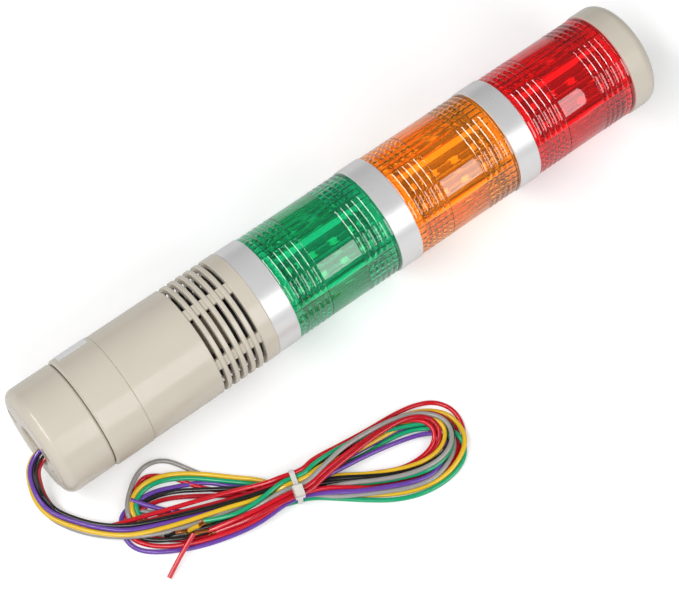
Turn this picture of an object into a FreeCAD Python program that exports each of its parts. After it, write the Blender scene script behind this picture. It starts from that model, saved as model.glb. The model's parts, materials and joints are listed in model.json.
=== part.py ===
"""Stack light: a round foot, a collar, a sounder housing, three lit tiers and a cap.

The tower lies on its side along +X, from the foot to the cap, as it rests on a table.
Its seven leads leave the foot and lie beside it in a tied hank.  All sizes are in
millimetres.  Pieces are drawn about the tower's own axis with the foot's mounting
face at x = 0, and laid down on z = 0 when they are written.
"""
import FreeCAD, Part
import math
import os

Vector = FreeCAD.Vector

# ---------------------------------------------------------------- driving sizes
body_radius = 25.0
foot_inset = 0.4
collar_proud = 0.2
ring_inset = 0.2
lens_inset = 0.6
cap_inset = 0.2

foot_length = 23.0
foot_round = 4.5
foot_wall = 2.4
foot_floor = 3.0
pad_margin = 0.2
pad_rise = 0.4
wire_hole_radius = 9.0
wire_hole_lip = 1.5
slot_spacing = 32.0
slot_width = 4.5
slot_length = 6.5

collar_length = 18.6
collar_edge = 0.8
collar_wall = 2.3
collar_web = 3.0
label_length = 14.0
label_depth = 0.15
label_sweep = 62.0
label_turn = -80.0

housing_length = 63.0
housing_wall = 2.8
housing_floor = 2.5
groove_count = 6
groove_pitch = 3.96
groove_width = 1.85
groove_depth = 1.0
groove_soft = 0.45
groove_end_margin = 5.44
slot_groups = 6
slot_sweep = 48.0
slot_group_turn = 29.0

tier_count = 3
ring_length = 10.9
lens_length = 52.9
seam_bevel = 0.25

rib_pitch = 2.87
rib_height = 0.4
lower_ribs = 6
upper_ribs = 5
rim_length = 1.45
band_drop = 0.1
flute_count = 48
flute_depth = 0.6
flute_margin = 5.6

cap_length = 13.8
cap_straight = 7.8
cap_crown = 0.5
cap_wall = 2.2
cap_rim_wall = 1.0
cap_rim_depth = 3.2

spigot_wall = 1.5
spigot_length = 4.5
spigot_lead_in = 0.4
spigot_clearance = 0.15
turn_clearance = 0.4
seam_gap = 0.3

foot_spigot_wall = 2.0
root_overlap = 0.5
bayonet_count = 3
ledge_sweep = 40.0
lug_sweep = 16.0
ledge_thickness = 1.8
ledge_setback = 2.0
lug_thickness = 2.4
lug_reach = 1.3
cap_lug_reach = 3.0
cap_lug_clearance = 0.6
cap_boss_wall = 1.8
cap_boss_height = 7.2
seat_flange_thickness = 1.6
seat_web_depth = 1.4
seal_thickness = 0.9
seal_inset = 0.5
seal_clearance = 1.4

column_width = 22.0
column_wall = 1.6
column_turn = 35.0
board_width = 18.0
board_thickness = 1.0
board_length = 46.0
led_width = 3.4
led_height = 1.5
led_rows = 4
led_columns = 2
led_row_pitch = 11.0
led_column_pitch = 8.0
column_boss_wall = 2.0
column_boss_height = 2.5

web_thickness = 2.5
rod_radius = 2.5
rod_clearance = 0.3
nut_across_flats = 8.0
nut_height = 4.0
washer_radius = 5.0
washer_thickness = 1.0
rod_end = 1.2

grommet_lip = 2.5
grommet_flange_length = 2.4
grommet_clearance = 0.1

control_board_length = 24.0
control_board_margin = 2.8
control_board_thickness = 1.6
rail_depth = 4.0
rail_height = 4.8
rail_margin = 1.2
terminal_start = 3.0
terminal_length = 8.0
terminal_width = 22.0
terminal_height = 8.5
relay_start = 14.0
relay_length = 8.0
relay_width = 10.0
relay_height = 7.0
relay_centre = -7.0
capacitor_radius = 3.0
capacitor_height = 9.0
capacitor_places = [(17.0, 3.5), (17.0, 11.0)]
sounder_plate_thickness = 1.6
sounder_plate_hole = 8.0
sounder_margin = 6.9
sounder_length = 19.0
sounder_step_length = 1.2
sounder_step = 1.3
sounder_hole_radius = 3.0
sounder_hole_depth = 4.0
bracket_thickness = 1.2
bracket_width = 15.0
bracket_length = 12.5
screw_radius = 1.5
screw_inset = 5.7
screw_clearance = 0.1
screw_head_radius = 2.8
screw_head_height = 1.8
screw_bite = 3.0
screw_boss_wall = 1.6
screw_boss_height = 3.5
screw_count = 3

lead_diameter = 2.0
lead_spacing = 2.15
hank_height = 7.0
hank_entry_width = 9.2
hank_waist_reach = 30.0
tie_width = 2.2
tie_thickness = 1.0
tie_round = 2.6
tie_core_width = 11.8
tie_core_height = 9.0
tie_head_length = 4.2
tie_head_width = 5.4
tie_head_height = 3.4
fit_gap = 0.05

# ------------------------------------------------------------ sizes that follow
foot_radius = body_radius - foot_inset
collar_radius = body_radius + collar_proud
ring_radius = body_radius - ring_inset
lens_radius = body_radius - lens_inset
cap_radius = body_radius - cap_inset
tier_bore = body_radius - housing_wall
spigot_radius = tier_bore - spigot_clearance
spigot_bore = spigot_radius - spigot_wall

pad_radius = foot_radius - foot_round - pad_margin
collar_bore = collar_radius - collar_wall
foot_spigot_radius = collar_bore - turn_clearance - lug_reach
foot_spigot_bore = foot_spigot_radius - foot_spigot_wall
cap_inner = cap_radius - cap_wall
cap_lug_radius = cap_inner - cap_lug_clearance
cap_boss_radius = cap_lug_radius - cap_lug_reach
cap_boss_bore = cap_boss_radius - cap_boss_wall
seat_flange_radius = cap_radius - cap_rim_wall - turn_clearance

grommet_flange_radius = wire_hole_radius + grommet_lip
control_board_half_width = tier_bore - control_board_margin
sounder_radius = tier_bore - sounder_margin
screw_circle = tier_bore - screw_inset
column_bore = column_width - 2 * column_wall

# ------------------------------------------------------- places along the tower
axis_height = collar_radius
collar_start = foot_length + seam_gap
collar_end = foot_length + collar_length
housing_start = collar_end
housing_end = housing_start + housing_length
tier_pitch = ring_length + lens_length
cap_start = housing_end + tier_count * tier_pitch
total_length = cap_start + cap_length
web_offset = (ring_length - web_thickness) / 2

ledge_start = collar_start + ledge_setback
lug_start = ledge_start + ledge_thickness + seam_gap
lug_end = lug_start + lug_thickness
collar_web_start = collar_end - collar_web
housing_floor_end = housing_start + housing_floor
groove_start = housing_end - groove_end_margin - groove_count * groove_pitch
rail_end = groove_start + (groove_pitch - groove_width) / 2 - rail_margin

seat_web_start = cap_start - seat_web_depth
seat_flange_end = cap_start + seat_flange_thickness
boss_end = cap_start + cap_boss_height
cap_lug_start = boss_end - ledge_thickness
cap_ledge_end = cap_lug_start - seam_gap
cap_ledge_start = cap_ledge_end - ledge_thickness

tier_names = ["green", "amber", "red"]
ring_starts = [housing_end + i * tier_pitch for i in range(tier_count)]
lens_starts = [start + ring_length for start in ring_starts]

# ------------------------------------------------------------ the leads' places
# Centre line of the seven leads, from the grommet to the hank, before laying down.
lead_route = [
    (36.0, -2.0, -1.0),
    (24.0, -2.4, -1.4),
    (11.0, -2.9, -2.2),
    (-0.2, -3.4, -2.9),
    (-5.2, -5.1, -7.0),
    (-7.4, -8.4, -13.6),
    (-8.8, -13.2, -18.8),
    (-8.0, -20.2, -21.9),
    (-4.0, -28.2, -22.0),
    (1.9, -36.2, -21.9),
    (9.0, -43.0, -21.9),
]
lead_names = ["red", "green", "red_common", "black", "grey", "purple", "yellow"]

# Plan outline of the tied hank, from one side of the leads' entry face to the other.
hank_outline = [
    (18.7, -33.8), (26.4, -27.6), (35.0, -28.4), (48.0, -38.8),
    (65.0, -56.0), (78.9, -65.6), (98.0, -67.6), (121.0, -70.6), (139.0, -71.4),
    (148.8, -76.7), (152.2, -85.6), (149.6, -93.6), (143.4, -99.9), (131.6, -104.7),
    (116.4, -104.2), (103.4, -97.6), (93.3, -87.6), (84.0, -79.4), (75.2, -77.3),
    (62.4, -74.2), (48.9, -72.1), (32.2, -67.6), (17.6, -60.6), (8.6, -53.4),
]
hank_eye = [
    (95.0, -82.0), (113.7, -78.2), (129.5, -79.8), (135.5, -84.2), (130.5, -88.2),
    (116.5, -89.2), (103.5, -87.0),
]
tie_place = (77.6, -71.2)
tie_turn = -18.0
tail_start = (25.9, -65.9, -24.15)
tail_end = (14.6, -70.6, -24.15)

ORIGIN = Vector(0, 0, 0)
AXIS = Vector(1, 0, 0)


# ------------------------------------------------------------------ small tools
class Outline:
    """A half section drawn in axial position and radius, then turned to a solid."""

    def __init__(self, x, radius):
        self.start = Vector(x, 0, radius)
        self.here = self.start
        self.edges = []

    def line(self, x, radius):
        """Draw a straight edge to the given point."""
        point = Vector(x, 0, radius)
        self.edges.append(Part.LineSegment(self.here, point).toShape())
        self.here = point
        return self

    def arc(self, middle, end):
        """Draw an arc through the middle point to the end point."""
        through = Vector(middle[0], 0, middle[1])
        point = Vector(end[0], 0, end[1])
        self.edges.append(Part.Arc(self.here, through, point).toShape())
        self.here = point
        return self

    def curve(self, pull, end):
        """Draw a curve towards the pull point that settles on the end point."""
        point = Vector(end[0], 0, end[1])
        bezier = Part.BezierCurve()
        bezier.setPoles([self.here, Vector(pull[0], 0, pull[1]), point])
        self.edges.append(bezier.toShape())
        self.here = point
        return self

    def turned(self):
        """Close the section and revolve it about the tower's axis."""
        self.line(self.start.x, self.start.z)
        face = Part.Face(Part.Wire(self.edges))
        solid = face.revolve(ORIGIN, AXIS, 360)
        return Part.makeSolid(solid.Shells[0]) if solid.ShapeType != "Solid" else solid


def tube(start, end, outer, inner):
    """A plain ring about the tower's axis."""
    ring = Part.makeCylinder(outer, end - start, Vector(start, 0, 0), AXIS)
    if inner > 0:
        ring = ring.cut(Part.makeCylinder(inner, end - start, Vector(start, 0, 0), AXIS))
    return ring


def sector(start, end, outer, inner, middle, sweep):
    """A ring segment; angles are in degrees about the axis, from +Z towards -Y."""
    height = Vector(start, 0, 0)
    outer_part = Part.makeCylinder(outer, end - start, height, AXIS, sweep)
    inner_part = Part.makeCylinder(inner, end - start, height, AXIS, sweep)
    piece = outer_part.cut(inner_part)
    piece.rotate(ORIGIN, AXIS, middle - sweep / 2 - cylinder_seam(start, end, outer, sweep))
    return piece


def cylinder_seam(start, end, outer, sweep):
    """Angle of a partial cylinder's first edge, from +Z towards -Y."""
    part = Part.makeCylinder(outer, end - start, Vector(start, 0, 0), AXIS, sweep)
    centre = part.CenterOfMass
    return math.degrees(math.atan2(-centre.y, centre.z)) - sweep / 2


def around(count, piece, first=0.0):
    """Copies of a piece spaced evenly about the tower's axis."""
    copies = []
    for i in range(count):
        copy = piece.copy()
        copy.rotate(ORIGIN, AXIS, first + i * 360.0 / count)
        copies.append(copy)
    return copies


def axial_hole(start, end, radius, y=0.0, z=0.0):
    """A cutting cylinder parallel to the tower's axis."""
    return Part.makeCylinder(radius, end - start, Vector(start, y, z), AXIS)


def hexagon(start, height, across_flats):
    """A hexagonal prism about the tower's axis."""
    corner = across_flats / math.sqrt(3)
    points = []
    for i in range(7):
        angle = math.radians(60 * i)
        points.append(Vector(start, corner * math.sin(angle), corner * math.cos(angle)))
    return Part.Face(Part.makePolygon(points)).extrude(Vector(height, 0, 0))


def square_tube(start, end, width, inner):
    """A square tube about the tower's axis, turned to the LED column's angle."""
    length = end - start
    body = Part.makeBox(length, width, width, Vector(start, -width / 2, -width / 2))
    if inner > 0:
        body = body.cut(Part.makeBox(length, inner, inner, Vector(start, -inner / 2, -inner / 2)))
    body.rotate(ORIGIN, AXIS, column_turn)
    return body


# ------------------------------------------------------------------------- foot
def mounting_foot():
    """Cup with a rounded end, a bearing pad, two screw slots and the wire hole."""
    shoulder = foot_length - foot_wall
    inner = foot_radius - foot_wall
    side = foot_round * math.sqrt(0.5)
    round_end = pad_rise + foot_round
    lip = wire_hole_lip * (1 - math.sqrt(0.5))
    cup = Outline(wire_hole_lip, wire_hole_radius)
    cup.arc((lip, wire_hole_radius + lip), (0, wire_hole_radius + wire_hole_lip))
    cup.line(0, pad_radius - pad_rise).line(pad_rise, pad_radius)
    cup.line(pad_rise, foot_radius - foot_round)
    cup.arc((round_end - side, foot_radius - foot_round + side), (round_end, foot_radius))
    cup.line(foot_length - collar_edge, foot_radius)
    cup.line(foot_length, foot_radius - collar_edge)
    cup.line(foot_length, foot_spigot_radius).line(lug_end, foot_spigot_radius)
    cup.line(lug_end, foot_spigot_bore).line(shoulder, foot_spigot_bore)
    cup.line(shoulder, inner).line(foot_floor, inner).line(foot_floor, wire_hole_radius)
    body = cup.turned()
    for side_sign in (-1, 1):
        body = body.cut(screw_slot(side_sign * slot_spacing / 2))
    lug_root = foot_spigot_radius - root_overlap
    lug = sector(lug_start, lug_end, foot_spigot_radius + lug_reach, lug_root, 0, lug_sweep)
    return body.fuse(around(bayonet_count, lug)).removeSplitter()


def screw_slot(y):
    """Straight slot through the foot's floor, along Y."""
    half = slot_width / 2
    travel = slot_length - slot_width
    slot = axial_hole(-1, foot_floor + 1, half, y - travel / 2)
    slot = slot.fuse(axial_hole(-1, foot_floor + 1, half, y + travel / 2))
    middle = Part.makeBox(foot_floor + 2, travel, slot_width, Vector(-1, y - travel / 2, -half))
    return slot.fuse(middle)


# ----------------------------------------------------------------------- collar
def base_collar():
    """Short tube with bayonet ledges for the foot and a web screwed to the housing."""
    section = Outline(collar_start, collar_radius - collar_edge)
    section.line(collar_start + collar_edge, collar_radius)
    section.line(collar_end - seam_bevel, collar_radius)
    section.line(collar_end, collar_radius - seam_bevel)
    section.line(collar_end, wire_hole_radius).line(collar_web_start, wire_hole_radius)
    section.line(collar_web_start, collar_bore).line(collar_start, collar_bore)
    body = section.turned()
    ledge_inner = foot_spigot_radius + turn_clearance
    ledge = sector(ledge_start, ledge_start + ledge_thickness, collar_bore + root_overlap,
                   ledge_inner, 0, ledge_sweep)
    body = body.fuse(around(bayonet_count, ledge))
    body = body.cut(label_recess(0))
    for hole in screw_places():
        body = body.cut(axial_hole(collar_web_start - 1, collar_end + 1,
                                   screw_radius + screw_clearance, *hole))
    return body.removeSplitter()


def screw_places():
    """Centres of the screws that join the collar to the housing."""
    places = []
    for i in range(screw_count):
        angle = math.radians(60 + 360 * i / screw_count)
        places.append((-screw_circle * math.sin(angle), screw_circle * math.cos(angle)))
    return places


def label_recess(inset):
    """Space of the blank rating plate in the collar's wall."""
    middle = (collar_start + collar_edge + collar_end) / 2
    start = middle - label_length / 2 + inset
    end = middle + label_length / 2 - inset
    sweep = label_sweep - math.degrees(2 * inset / collar_radius)
    return sector(start, end, collar_radius, collar_radius - label_depth, label_turn, sweep)


def rating_plate():
    """Thin blank plate, flush in the collar."""
    return label_recess(fit_gap)


def collar_screws():
    """Three pan-head screws through the collar's web into the housing's floor."""
    head_start = collar_web_start - screw_head_height
    screws = []
    for y, z in screw_places():
        head = Part.makeCylinder(screw_head_radius, screw_head_height, Vector(head_start, y, z), AXIS)
        shank_length = screw_head_height + collar_web + housing_floor + screw_bite
        shank = Part.makeCylinder(screw_radius, shank_length, Vector(head_start, y, z), AXIS)
        screws.append(head.fuse(shank).removeSplitter())
    return Part.makeCompound(screws)


def wire_grommet():
    """Rubber bush that grips the leads in the collar's web."""
    flange_start = collar_web_start - grommet_flange_length
    neck_radius = wire_hole_radius - grommet_clearance
    bush = Outline(flange_start, 0)
    bush.line(flange_start, grommet_flange_radius)
    bush.line(collar_web_start, grommet_flange_radius).line(collar_web_start, neck_radius)
    bush.line(housing_floor_end, neck_radius).line(housing_floor_end, 0)
    return bush.turned()


# ---------------------------------------------------------------------- housing
def groove_places():
    """Middle of each sound slot along the tower."""
    first = groove_start + groove_pitch / 2
    return [first + i * groove_pitch for i in range(groove_count)]


def sounder_housing():
    """Housing tube with six rows of sound slots between rounded slats."""
    section = Outline(housing_start, body_radius - seam_bevel)
    section.line(housing_start + seam_bevel, body_radius)
    half = groove_width / 2
    bulge = groove_soft * math.sqrt(0.5)
    for x in groove_places():
        left = x - half - groove_soft
        right = x + half + groove_soft
        low = body_radius - groove_soft
        section.line(left, body_radius).arc((left + bulge, low + bulge), (x - half, low))
        section.line(x - half, body_radius - groove_depth)
        section.line(x + half, body_radius - groove_depth).line(x + half, low)
        section.arc((right - bulge, low + bulge), (right, body_radius))
    section.line(housing_end - seam_bevel, body_radius)
    section.line(housing_end, body_radius - seam_bevel)
    section.line(housing_end, tier_bore).line(housing_floor_end, tier_bore)
    section.line(housing_floor_end, wire_hole_radius).line(housing_start, wire_hole_radius)
    body = section.turned()
    body = body.fuse(housing_inner_parts()).removeSplitter()
    body = body.cut(sound_slots())
    for hole in screw_places():
        body = body.cut(axial_hole(housing_start - 1, housing_floor_end + screw_boss_height + 1,
                                   screw_radius, *hole))
    return body


def sound_slots():
    """Every through slot: one row in each groove, one slot in each group."""
    cutters = []
    for x in groove_places():
        start = x - groove_width / 2
        slot = sector(start, start + groove_width, body_radius + 1, tier_bore - 1,
                      slot_group_turn, slot_sweep)
        cutters.extend(around(slot_groups, slot))
    return cutters


def housing_inner_parts():
    """Screw bosses on the housing's floor and the rails that hold the control board."""
    parts = []
    root = housing_floor_end - root_overlap
    for y, z in screw_places():
        parts.append(axial_hole(root, housing_floor_end + screw_boss_height,
                                screw_radius + screw_boss_wall, y, z))
    gap = control_board_thickness / 2 + fit_gap
    for side_sign in (-1, 1):
        rail = side_box(side_sign, root, rail_end, tier_bore - rail_depth,
                        tier_bore + root_overlap, rail_height / 2)
        groove = side_box(side_sign, housing_floor_end, rail_end + 1, tier_bore - rail_depth - 1,
                          control_board_half_width + grommet_clearance, gap)
        parts.append(rail.cut(groove))
    return parts


def side_box(side_sign, start, end, inner, outer, half_height):
    """A box on one side of the axis, between two distances from it."""
    low = min(side_sign * inner, side_sign * outer)
    return Part.makeBox(end - start, outer - inner, 2 * half_height,
                        Vector(start, low, -half_height))


def control_board():
    """Circuit board that drives the tiers and the sounder."""
    start = housing_floor_end + fit_gap
    return Part.makeBox(control_board_length, 2 * control_board_half_width, control_board_thickness,
                        Vector(start, -control_board_half_width, -control_board_thickness / 2))


def board_components():
    """Terminal block, two capacitors and a relay on the control board."""
    start = housing_floor_end
    top = control_board_thickness / 2
    terminal = Part.makeBox(terminal_length, terminal_width, terminal_height,
                            Vector(start + terminal_start, -terminal_width / 2, top))
    relay = Part.makeBox(relay_length, relay_width, relay_height,
                         Vector(start + relay_start, relay_centre - relay_width / 2, top))
    parts = [terminal, relay]
    for x, y in capacitor_places:
        parts.append(Part.makeCylinder(capacitor_radius, capacitor_height, Vector(start + x, y, top)))
    return Part.makeCompound(parts)


def sounder_bracket():
    """Pressed plate across the housing with two arms that hold the sounder."""
    start = rail_end
    plate = tube(start, start + sounder_plate_thickness, spigot_radius, sounder_plate_hole)
    arm_base = sounder_radius + fit_gap
    arm = Part.makeBox(bracket_length + sounder_plate_thickness, bracket_width, bracket_thickness,
                       Vector(start, -bracket_width / 2, arm_base))
    arms = around(2, arm, slot_group_turn)
    return plate.fuse(arms).removeSplitter()


def sounder():
    """Closed sounder can with a stepped front and its sound hole."""
    start = rail_end + sounder_plate_thickness
    end = start + sounder_length
    step_start = end - sounder_step_length
    front_radius = sounder_radius - sounder_step
    hole_floor = end - sounder_hole_depth
    can = Outline(start, 0)
    can.line(start, sounder_radius).line(step_start - sounder_step, sounder_radius)
    can.line(step_start, front_radius).line(end, front_radius).line(end, sounder_hole_radius)
    can.line(hole_floor, sounder_hole_radius).line(hole_floor, 0)
    return can.turned()


# ------------------------------------------------------------------------ tiers
def silver_ring(start):
    """Ring between tiers, with a spigot into each neighbour and a web for the column."""
    end = start + ring_length
    low = start - spigot_length
    high = end + spigot_length
    tip = spigot_radius - spigot_lead_in
    web = start + web_offset
    web_end = web + web_thickness
    rod_hole = rod_radius + rod_clearance
    ring = Outline(low, tip)
    ring.line(low + spigot_lead_in, spigot_radius).line(start, spigot_radius)
    ring.line(start, ring_radius - seam_bevel).line(start + seam_bevel, ring_radius)
    ring.line(end - seam_bevel, ring_radius).line(end, ring_radius - seam_bevel)
    ring.line(end, spigot_radius).line(high - spigot_lead_in, spigot_radius)
    ring.line(high, tip).line(high, spigot_bore).line(web_end, spigot_bore)
    ring.line(web_end, rod_hole).line(web, rod_hole)
    ring.line(web, spigot_bore).line(low, spigot_bore)
    boss_width = column_bore - 2 * rod_clearance
    boss = square_tube(web_end - root_overlap, web_end + column_boss_height, boss_width,
                       boss_width - 2 * column_boss_wall)
    return ring.turned().fuse(boss).removeSplitter()


def ribbed_skin(section, start, count, valley):
    """Add a run of rounded ribs to a lens section."""
    for i in range(count):
        left = start + i * rib_pitch
        section.arc((left + rib_pitch / 2, valley + rib_height), (left + rib_pitch, valley))


def lens(start):
    """Clear lens: ribbed at both ends, plain in the middle, fluted inside."""
    end = start + lens_length
    valley = lens_radius - rib_height
    ribs_end = start + lower_ribs * rib_pitch
    upper_start = end - rim_length - upper_ribs * rib_pitch
    skin = Outline(start, valley)
    ribbed_skin(skin, start, lower_ribs, valley)
    skin.line(ribs_end, lens_radius - band_drop).line(upper_start, lens_radius - band_drop)
    skin.line(upper_start, valley)
    ribbed_skin(skin, upper_start, upper_ribs, valley)
    skin.line(end - rim_length, lens_radius).line(end, lens_radius)
    skin.line(end, tier_bore).line(end - flute_margin, tier_bore)
    skin.line(end - flute_margin, tier_bore - flute_depth)
    skin.line(start + flute_margin, tier_bore - flute_depth)
    skin.line(start + flute_margin, tier_bore).line(start, tier_bore)
    body = skin.turned()
    return body.cut(flutes(start + flute_margin, end - flute_margin))


def flutes(start, end):
    """Star-shaped prism whose points cut the light-spreading flutes in a lens."""
    corners = []
    for i in range(2 * flute_count + 1):
        radius = tier_bore if i % 2 else tier_bore - flute_depth
        angle = math.pi * i / flute_count
        corners.append(Vector(start, -radius * math.sin(angle), radius * math.cos(angle)))
    star = Part.Face(Part.makePolygon(corners))
    return star.extrude(Vector(end - start, 0, 0))


def column_span(start):
    """First and last position of the LED column between a ring's web and the next web."""
    first = start + web_offset + web_thickness
    next_web = start + tier_pitch + web_offset
    if start == ring_starts[-1]:
        next_web = seat_web_start
    return first, next_web - seam_gap


def led_column(start):
    """Square carrier that stands on the ring's web and bears four LED boards."""
    first, last = column_span(start)
    return square_tube(first, last, column_width, column_bore)


def board_start(start):
    """Where the LED boards begin: centred on the lens above the ring."""
    return start + ring_length + (lens_length - board_length) / 2


def led_boards(start):
    """Four narrow boards, one on each face of the carrier."""
    first = board_start(start)
    board = Part.makeBox(board_length, board_width, board_thickness,
                         Vector(first, -board_width / 2, column_width / 2))
    return Part.makeCompound(around(4, board, column_turn))


def led_chips(start):
    """Surface-mounted LEDs in rows on each board."""
    middle = board_start(start) + board_length / 2
    chips = []
    for row in range(led_rows):
        for column in range(led_columns):
            x = middle + (row - (led_rows - 1) / 2) * led_row_pitch - led_width / 2
            y = (column - (led_columns - 1) / 2) * led_column_pitch - led_width / 2
            corner = Vector(x, y, column_width / 2 + board_thickness)
            chip = Part.makeBox(led_width, led_width, led_height, corner)
            chips.extend(around(4, chip, column_turn))
    return Part.makeCompound(chips)


# -------------------------------------------------------------- top of the stack
def top_seat():
    """Plate that clamps the tiers and carries the cap's bayonet."""
    rod_hole = rod_radius + rod_clearance
    seat = Outline(cap_start - spigot_length, spigot_radius)
    seat.line(cap_start, spigot_radius).line(cap_start, seat_flange_radius)
    seat.line(seat_flange_end, seat_flange_radius).line(seat_flange_end, cap_boss_radius)
    seat.line(boss_end, cap_boss_radius).line(boss_end, cap_boss_bore)
    seat.line(seat_flange_end, cap_boss_bore).line(seat_flange_end, rod_hole)
    seat.line(seat_web_start, rod_hole).line(seat_web_start, spigot_bore)
    seat.line(cap_start - spigot_length, spigot_bore)
    lug = sector(cap_lug_start, boss_end, cap_lug_radius, cap_boss_radius - root_overlap, 0, lug_sweep)
    return seat.turned().fuse(around(bayonet_count, lug)).removeSplitter()


def cap_seal():
    """Flat ring under the cap's edge, laid on the top seat."""
    return tube(seat_flange_end, seat_flange_end + seal_thickness,
                seat_flange_radius - seal_inset, cap_boss_radius + seal_clearance)


def top_cap():
    """Shallow cap with a rounded shoulder, a crowned top and three bayonet ledges."""
    top = cap_start + cap_length
    shoulder = cap_length - cap_crown - cap_straight
    bend = shoulder * math.sqrt(0.5)
    edge = cap_start + seam_gap
    rim_inner = cap_radius - cap_rim_wall
    rim_end = cap_start + cap_rim_depth
    shell = Outline(edge, cap_radius - seam_bevel)
    shell.line(edge + seam_bevel, cap_radius).line(cap_start + cap_straight, cap_radius)
    shell.arc((cap_start + cap_straight + bend, cap_radius - shoulder + bend),
              (top - cap_crown, cap_radius - shoulder))
    shell.curve((top, (cap_radius - shoulder) * 0.6), (top, 0))
    shell.line(top - cap_wall, 0).line(top - cap_wall - cap_crown, cap_inner - shoulder)
    shell.line(cap_start + cap_straight, cap_inner).line(rim_end, cap_inner)
    shell.line(rim_end, rim_inner).line(edge, rim_inner)
    body = shell.turned()
    ledge_inner = cap_boss_radius + turn_clearance
    ledge = sector(cap_ledge_start, cap_ledge_end, cap_inner + root_overlap, ledge_inner, 0,
                   ledge_sweep)
    return body.fuse(around(bayonet_count, ledge)).removeSplitter()


def rod_span():
    """First and last position of the tie rod."""
    low = ring_starts[0] + web_offset - washer_thickness - nut_height - rod_end
    high = seat_flange_end + washer_thickness + nut_height + rod_end
    return low, high


def tie_rod():
    """Long rod on the axis that pulls the tiers together."""
    low, high = rod_span()
    return Part.makeCylinder(rod_radius, high - low, Vector(low, 0, 0), AXIS)


def rod_nuts():
    """Hexagon nuts at both ends of the tie rod."""
    low, high = rod_span()
    hole = axial_hole(low, high, rod_radius + fit_gap)
    lower = hexagon(low + rod_end, nut_height, nut_across_flats).cut(hole)
    upper = hexagon(high - rod_end - nut_height, nut_height, nut_across_flats).cut(hole)
    return Part.makeCompound([lower, upper])


def rod_washers():
    """Plain washers under the nuts."""
    rings = []
    for start in (ring_starts[0] + web_offset - washer_thickness, seat_flange_end):
        rings.append(tube(start, start + washer_thickness, washer_radius, rod_radius + fit_gap))
    return Part.makeCompound(rings)


# ------------------------------------------------------------------------ leads
def bundle_offsets():
    """Place of each lead round the bundle's centre line: one inside six."""
    places = [(0.0, 0.0)]
    for i in range(len(lead_names) - 1):
        angle = math.radians(60 * i)
        places.append((lead_spacing * math.cos(angle), lead_spacing * math.sin(angle)))
    return places


def route_frames(points):
    """Two cross directions at each point, carried along the route without twist."""
    frames = []
    side = Vector(0, 1, 0)
    for i in range(len(points)):
        before = points[i] - points[max(i - 1, 0)]
        after = points[min(i + 1, len(points) - 1)] - points[i]
        along = Vector(0, 0, 0)
        for run in (before, after):
            if run.Length > 0:
                along = along + Vector(run).normalize()
        along.normalize()
        side = (side - along * side.dot(along)).normalize()
        frames.append((side, along.cross(side)))
    return frames


def lead_points(offset):
    """Route of one lead, beside the bundle's centre line."""
    centre = [Vector(*point) for point in lead_route]
    route = []
    for point, (side, up) in zip(centre, route_frames(centre)):
        route.append(point + side * offset[0] + up * offset[1])
    return route


def rounded_path(points):
    """Straight runs joined by tangent arcs; gives the wire and its smallest radius."""
    edges = []
    radii = []
    here = points[0]
    for i in range(1, len(points) - 1):
        before = points[i - 1] - points[i]
        after = points[i + 1] - points[i]
        turn = math.pi - before.getAngle(after)
        reach = 0.45 * min(before.Length, after.Length)
        radii.append(reach / math.tan(turn / 2))
        inward = Vector(before).normalize()
        outward = Vector(after).normalize()
        first = points[i] + inward * reach
        last = points[i] + outward * reach
        bisector = (inward + outward).normalize()
        centre_distance = math.hypot(reach, radii[-1])
        middle = points[i] + bisector * (centre_distance - radii[-1])
        edges.append(Part.LineSegment(here, first).toShape())
        edges.append(Part.Arc(first, middle, last).toShape())
        here = last
    edges.append(Part.LineSegment(here, points[-1]).toShape())
    return Part.Wire(edges), min(radii)


def lead(offset, name):
    """One insulated lead from the grommet to the hank."""
    points = lead_points(offset)
    path, smallest = rounded_path(points)
    direction = points[1] - points[0]
    ring = Part.Wire(Part.makeCircle(lead_diameter / 2, points[0], direction))
    solid = path.makePipeShell([ring], True, False)
    section = math.pi * lead_diameter ** 2 / 4
    print("lead_%s: smallest radius %.1f mm, volume / (section x length) = %.4f"
          % (name, smallest, solid.Volume / (section * path.Length)))
    return solid


def plan_wire(points, height, closed):
    """Smooth curve through plan points at one height."""
    curve = Part.BSplineCurve()
    places = [Vector(x, y, height) for x, y in points]
    curve.interpolate(Points=places, PeriodicFlag=closed)
    return curve.toShape()


def tie_block(length, width, low, high, corner):
    """A block across the hank at the tie, its four edges along the leads rounded."""
    block = Part.makeBox(length, width, high - low, Vector(-length / 2, -width / 2, low))
    if corner > 0:
        long_edges = [edge for edge in block.Edges if abs(edge.tangentAt(0).x) > 0.5]
        block = block.makeFillet(corner, long_edges)
    block.rotate(ORIGIN, Vector(0, 0, 1), tie_turn)
    block.translate(Vector(tie_place[0], tie_place[1], 0))
    return block


def tie_hole(margin):
    """The room inside the tie's band, made smaller all round by the margin."""
    low = tie_thickness - axis_height + margin
    high = tie_thickness - axis_height + tie_core_height - margin
    length = tie_head_length + 2 * fit_gap + root_overlap
    return tie_block(length, tie_core_width - 2 * margin, low, high, tie_round - tie_thickness)


def entry_corners():
    """Ends of the hank's flat entry face, square to the leads' last run."""
    last = Vector(*lead_route[-1])
    run = last - Vector(*lead_route[-2])
    across = Vector(-run.y, run.x, 0).normalize() * (hank_entry_width / 2)
    return (last + across), (last - across)


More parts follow.
